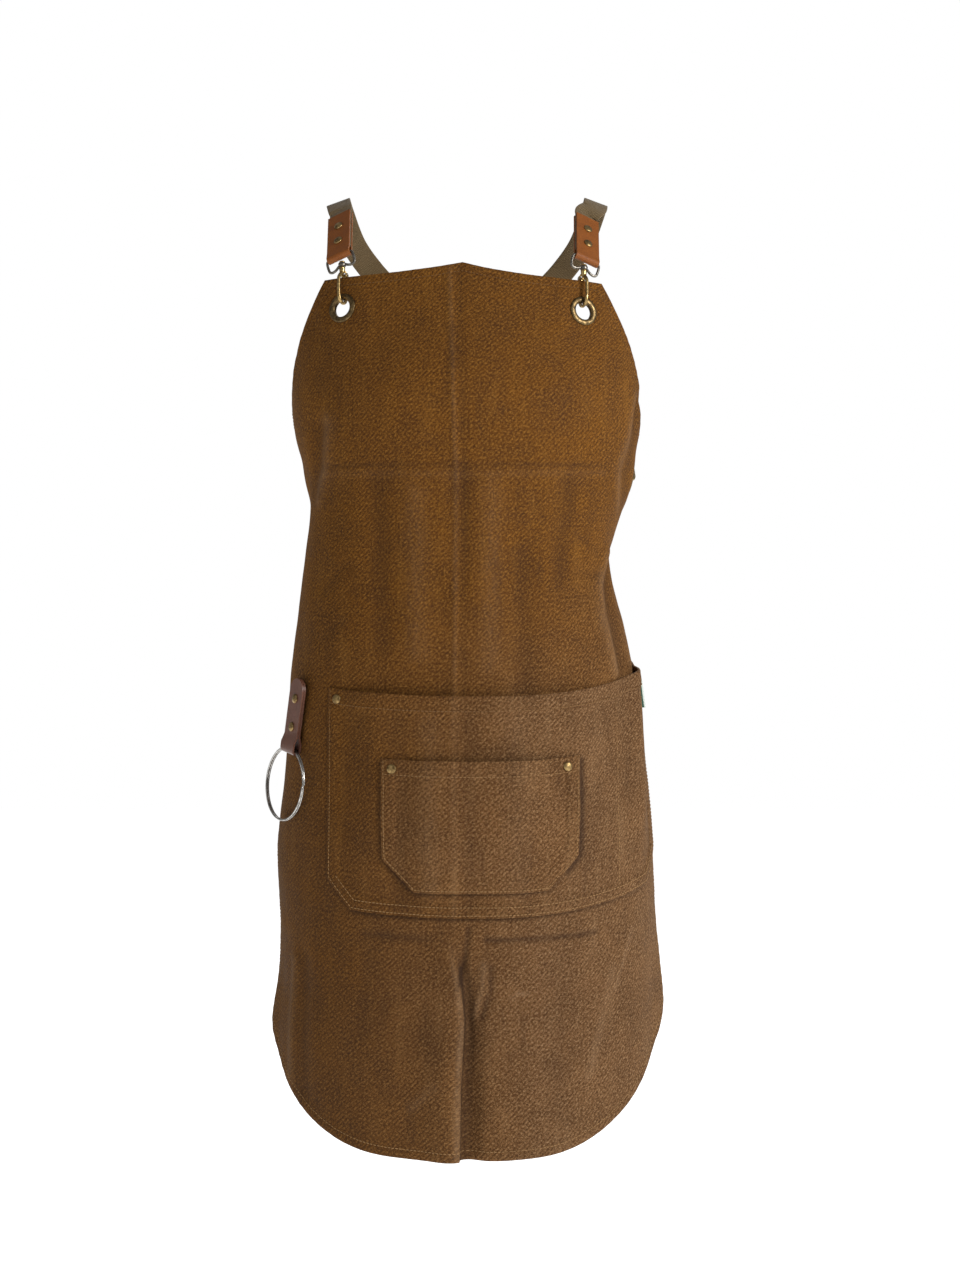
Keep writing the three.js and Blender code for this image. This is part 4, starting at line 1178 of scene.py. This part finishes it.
def strap(side):
    """Webbing with rounded edges along its route."""
    points, facings = strap_route(side)
    place, along = spline(points, 420)
    facing, _ = spline(facings, 420)
    across = unit(np.cross(facing, along))
    out = unit(np.cross(along, across))
    half = STRAP_WIDTH / 2
    face = [(x, 1) for x in (-0.93, -0.6, -0.2, 0.2, 0.6, 0.93)]
    edge = [(0.985, 0.75), (1, 0), (0.985, -0.75)]
    outline = face + edge + [(-x, -z) for x, z in face + edge]
    outline = [(half * x, STRAP / 2 * z) for x, z in outline]
    run = np.concatenate([[0], np.cumsum(np.linalg.norm(np.diff(place, axis=0), axis=1))])
    rows, columns = len(place), len(outline)
    vertices = np.concatenate([place + x * across + z * out for x, z in outline]).reshape(columns, rows, 3)
    uv = np.array([[(x, s) for s in run] for x, _ in outline])
    faces = []
    for c in range(columns):
        d = (c + 1) % columns
        faces += [(c * rows + k, c * rows + k + 1, d * rows + k + 1, d * rows + k) for k in range(rows - 1)]
    faces.append([c * rows for c in range(columns)])
    faces.append([c * rows + rows - 1 for c in range(columns)][::-1])
    name = side_name(side)
    piece = new_object(f"webbing_{name}", vertices.reshape(-1, 3), faces, uv.reshape(-1, 2))
    dress(piece, WEBBING_LOOK, [f"strap_over_{name}_shoulder"])


def bow(seat, where):
    """The wire bow that the tab folds round, with the collar that the hook turns in."""
    there = tab_frame(seat)
    hook = there["hook"]
    half, height, drop = BOW["half_width"], BOW["height"], BOW["drop"]
    right = [(2.9, 2.1), (6.5, -0.4), (10.5, -drop), (13.4, -drop + 1.2), (half, 2.4),
             (half, height - 2.2), (half - 1, height - 0.5), (half - 3, height)]
    route = right + [(0, height)] + [(-x, z) for x, z in right[::-1]]
    path, _ = spline([hook["swivel"] + x * there["bar"] + z * there["upward"] for x, z in route], 120)
    hole, wall, low, high = (COLLAR[key] for key in ("hole", "radius", "bottom", "top"))
    collar = [(hole, low + 0.2), (hole + 0.3, low), (wall - 0.4, low), (wall, low + 0.5),
              (wall + 0.1, (low + high) / 2), (wall, high - 0.5), (wall - 0.4, high), (hole + 0.3, high),
              (hole, high - 0.3), (hole, low + 0.2)]
    parts = [sweep(path, BOW["wire"]), lathe(collar, hook["swivel"], hook["z"])]
    piece = merged(f"{where}_wire_bow", parts)
    dress(piece, GUNMETAL, [f"{where}_bow"])


def snap_hook(seat, where):
    """The hook's wire loop with its stem and swivel post, and the two cheeks that hold the gate's pin."""
    hook = hook_frame(seat)

    def place(x, y, z):
        return hook["swivel"] + x * hook["x"] + y * hook["y"] + z * hook["z"]

    half, length = HOOK["half_loop"], HOOK["length"]
    route = [(0, 2.6), (0.5, 4.6), (1.6, 6.6), (3.8, 8.9), (half - 0.4, 12.5), (half, 18), (half, 30),
             (4.6, length - 2.2), (0, length), (-4.6, length - 2.2), (-half, 30),
             (-half, HOOK["mouth_top"])]
    path, _ = spline([place(0, y, -z) for y, z in route], 120)
    stem = [(0, -7.6), (1.6, -7.3), (2.5, -6), (2.7, -4), (3.0, -1.4), (3.0, -0.3), (2.6, 0), (1.7, 0.1),
            (1.7, 4.2), (2.7, 4.3), (2.9, 4.8), (2.5, 5.6), (1.4, 6), (0, 6.1)]
    parts = [sweep(path, HOOK["wire"]), lathe(stem, hook["swivel"], hook["z"])]
    knob = [(0, 0), (2.2, 0), (2.4, 0.3), (2.4, 0.8), (2.2, 1), (0, 1)]
    for side in (-1, 1):
        parts.append(lathe(knob, place(2 * side, -4.6, -7.6), side * hook["x"], 24))
        arm = [place(2.5 * side, -4.6, -7.6), place(1.9 * side, -2.2, -4.6), place(1.2 * side, -0.4, -3.2)]
        parts.append(sweep(arm, 0.95, 10))
    piece = merged(f"{where}_snap_hook", parts)
    dress(piece, BRIGHT_BRASS, [f"{where}_hook"], f"{where}_hook_body")


def hardware():
    for seat in SEATS:
        place = "front" if seat["place"] == "front" else "waist"
        where = f"{place}_{side_name(seat['side'])}"
        there = tab_frame(seat)
        bow(seat, where)
        snap_hook(seat, where)
        dress_node(f"{where}_tab", TAN_LEATHER, 0.45)
        dress_node(f"{where}_gate", BRIGHT_BRASS, 0.25)
        dress_node(f"{where}_gate_pin", STEEL, 0.1)
        grip = TAB_INNER + LEATHER
        for i, distance in enumerate(TAB_RIVETS):
            rivet(f"{where}_tab_rivet_{i + 1}", there["foot"] + there["along"] * distance, there["out"],
                  -grip - GAP, grip)


def cross():
    """The leather patch, with its rivet, and the two slides."""
    dress_node("cross_patch", TAN_LEATHER, 0.5)
    dress_node("slider_left", GUNMETAL, 0.5)
    dress_node("slider_right", GUNMETAL, 0.5)
    middle = np.array([0, CROSSING[1] + STRAP_OVER + STRAP / 2 + GAP + 0.4, CROSSING[2]])
    base = CROSSING[1] - STRAP / 2 - middle[1]
    rivet("cross_rivet", middle, np.array([0, 1, 0]), base - GAP, LEATHER)


# ---------------------------------------------------------------- towel ring
RING_BAR_SPACE = 2.9


def towel_ring():
    there = cloth_frame(RING_TAB["u"], RING_TAB["top"] + RING_TAB["length"] / 2)

    def along_tab(distance):
        return there["point"] + there["down"] * (distance - RING_TAB["length"] / 2)

    up = -there["down"]
    seat = CANVAS / 2 + GAP + RING_BAR_SPACE + LEATHER
    foot = along_tab(RING_TAB["length"]) + there["out"] * seat
    dress_node("ring_tab", BROWN_LEATHER, 0.45)
    for i, distance in enumerate(RING_TAB["rivets"]):
        point = along_tab(distance) + there["out"] * seat
        back = (cloth_point(RING_TAB["u"], RING_TAB["top"] + distance) - point).dot(there["out"])
        rivet(f"ring_tab_rivet_{i + 1}", point, there["out"], back - CANVAS / 2 - 1, 0.2 + LEATHER)
    radius = RING["outer"] - RING["wire"]
    end = RING_TAB["top"] + RING_TAB["length"]
    sideways = unit(np.cross(up, there["out"]))
    lean = cloth_point(RING_TAB["u"], end) - cloth_point(RING_TAB["u"], end + 2 * radius)
    lean = unit(lean - sideways * lean.dot(sideways))
    sag = radius - math.sqrt(radius**2 - (RING_TAB["width"] / 2) ** 2)
    centre = foot + lean * (sag / 2 - radius)
    normal = np.cross(sideways, lean)
    turns = np.linspace(0, 4 * math.pi, 260)
    start = 0.15
    step = 0.93 * (smooth(1.75 * math.pi, 2.25 * math.pi, turns) * 2 - 1)
    path = [centre + radius * (math.cos(t + start) * sideways + math.sin(t + start) * lean) + s * normal
            for t, s in zip(turns, step)]
    piece = merged("split_ring", [sweep(path, 1.0, 14)])
    dress(piece, STEEL, ["towel_ring"], "ring")


# ---------------------------------------------------------------- build
apron_panel = panel()
punch(apron_panel, {f"hole_{i}": (seat["point"], seat["out"], EYELET["barrel"] + GAP)
                    for i, seat in enumerate(SEATS)})
large_pocket, patch_pocket = pockets()
threads = stitching()
label()
eyelets()
pocket_rivets()
strap(-1)
strap(1)
hardware()
cross()
towel_ring()


# ---------------------------------------------------------------- stage, light and camera
FLOOR_LEVEL = -1.12


def floor():
    piece = new_object("floor", [(-6000, -6000, 0), (6000, -6000, 0), (6000, 6000, 0), (-6000, 6000, 0)],
                       [(0, 1, 2, 3)])
    piece.location = (0, 0, FLOOR_LEVEL)
    r = Recipe("floor")
    haze = r.noise(r.places("Object"), 900, 2)
    colour = r.mix(haze, (0.90, 0.90, 0.895), (0.93, 0.93, 0.925))
    r.shader.inputs["Emission Color"].default_value = (1, 1, 1, 1)
    r.shader.inputs["Emission Strength"].default_value = 0.78
    piece.data.materials.append(r.finish(colour, 0.9, r.bump(haze, 0.5, 0.1), Specular_IOR_Level=0.1))


def area_light(name, place, size, power, aim=(0, 0, -0.48), colour=(1, 1, 1)):
    data = bpy.data.lights.new(name, "AREA")
    data.shape = "DISK"
    data.size = size
    data.energy = power
    data.color = colour
    light = bpy.data.objects.new(name, data)
    light.location = place
    light.rotation_euler = (Vector(aim) - Vector(place)).to_track_quat("-Z", "Y").to_euler()
    bpy.context.scene.collection.objects.link(light)


def world():
    made = bpy.data.worlds.new("studio")
    made.use_nodes = True
    tree = made.node_tree
    background = tree.nodes["Background"]
    background.inputs["Color"].default_value = (1, 1, 1, 1)
    background.inputs["Strength"].default_value = 0.27
    seen = tree.nodes.new("ShaderNodeBackground")
    seen.inputs["Color"].default_value = (1, 1, 1, 1)
    seen.inputs["Strength"].default_value = 1.0
    path = tree.nodes.new("ShaderNodeLightPath")
    mix = tree.nodes.new("ShaderNodeMixShader")
    tree.links.new(path.outputs["Is Camera Ray"], mix.inputs[0])
    tree.links.new(background.outputs[0], mix.inputs[1])
    tree.links.new(seen.outputs[0], mix.inputs[2])
    tree.links.new(mix.outputs[0], tree.nodes["World Output"].inputs["Surface"])
    bpy.context.scene.world = made


def camera():
    data = bpy.data.cameras.new("camera")
    data.sensor_fit = "HORIZONTAL"
    data.sensor_width = 36
    data.lens = 75
    seen = bpy.data.objects.new("camera", data)
    seen.location = (0.013, -2.0, -0.44)
    seen.rotation_euler = (math.radians(90), 0, 0)
    bpy.context.scene.collection.objects.link(seen)
    bpy.context.scene.camera = seen


bpy.context.scene.view_settings.view_transform = "Standard"
floor()
world()
area_light("key", (2.1, -1.6, 0.6), 0.9, 62)
area_light("fill", (-1.6, -1.8, 0.6), 1.4, 3.5, (0, 0, -0.1))
area_light("back", (0.4, 2.3, 0.6), 1.6, 16)
camera()

bpy.context.view_layer.update()
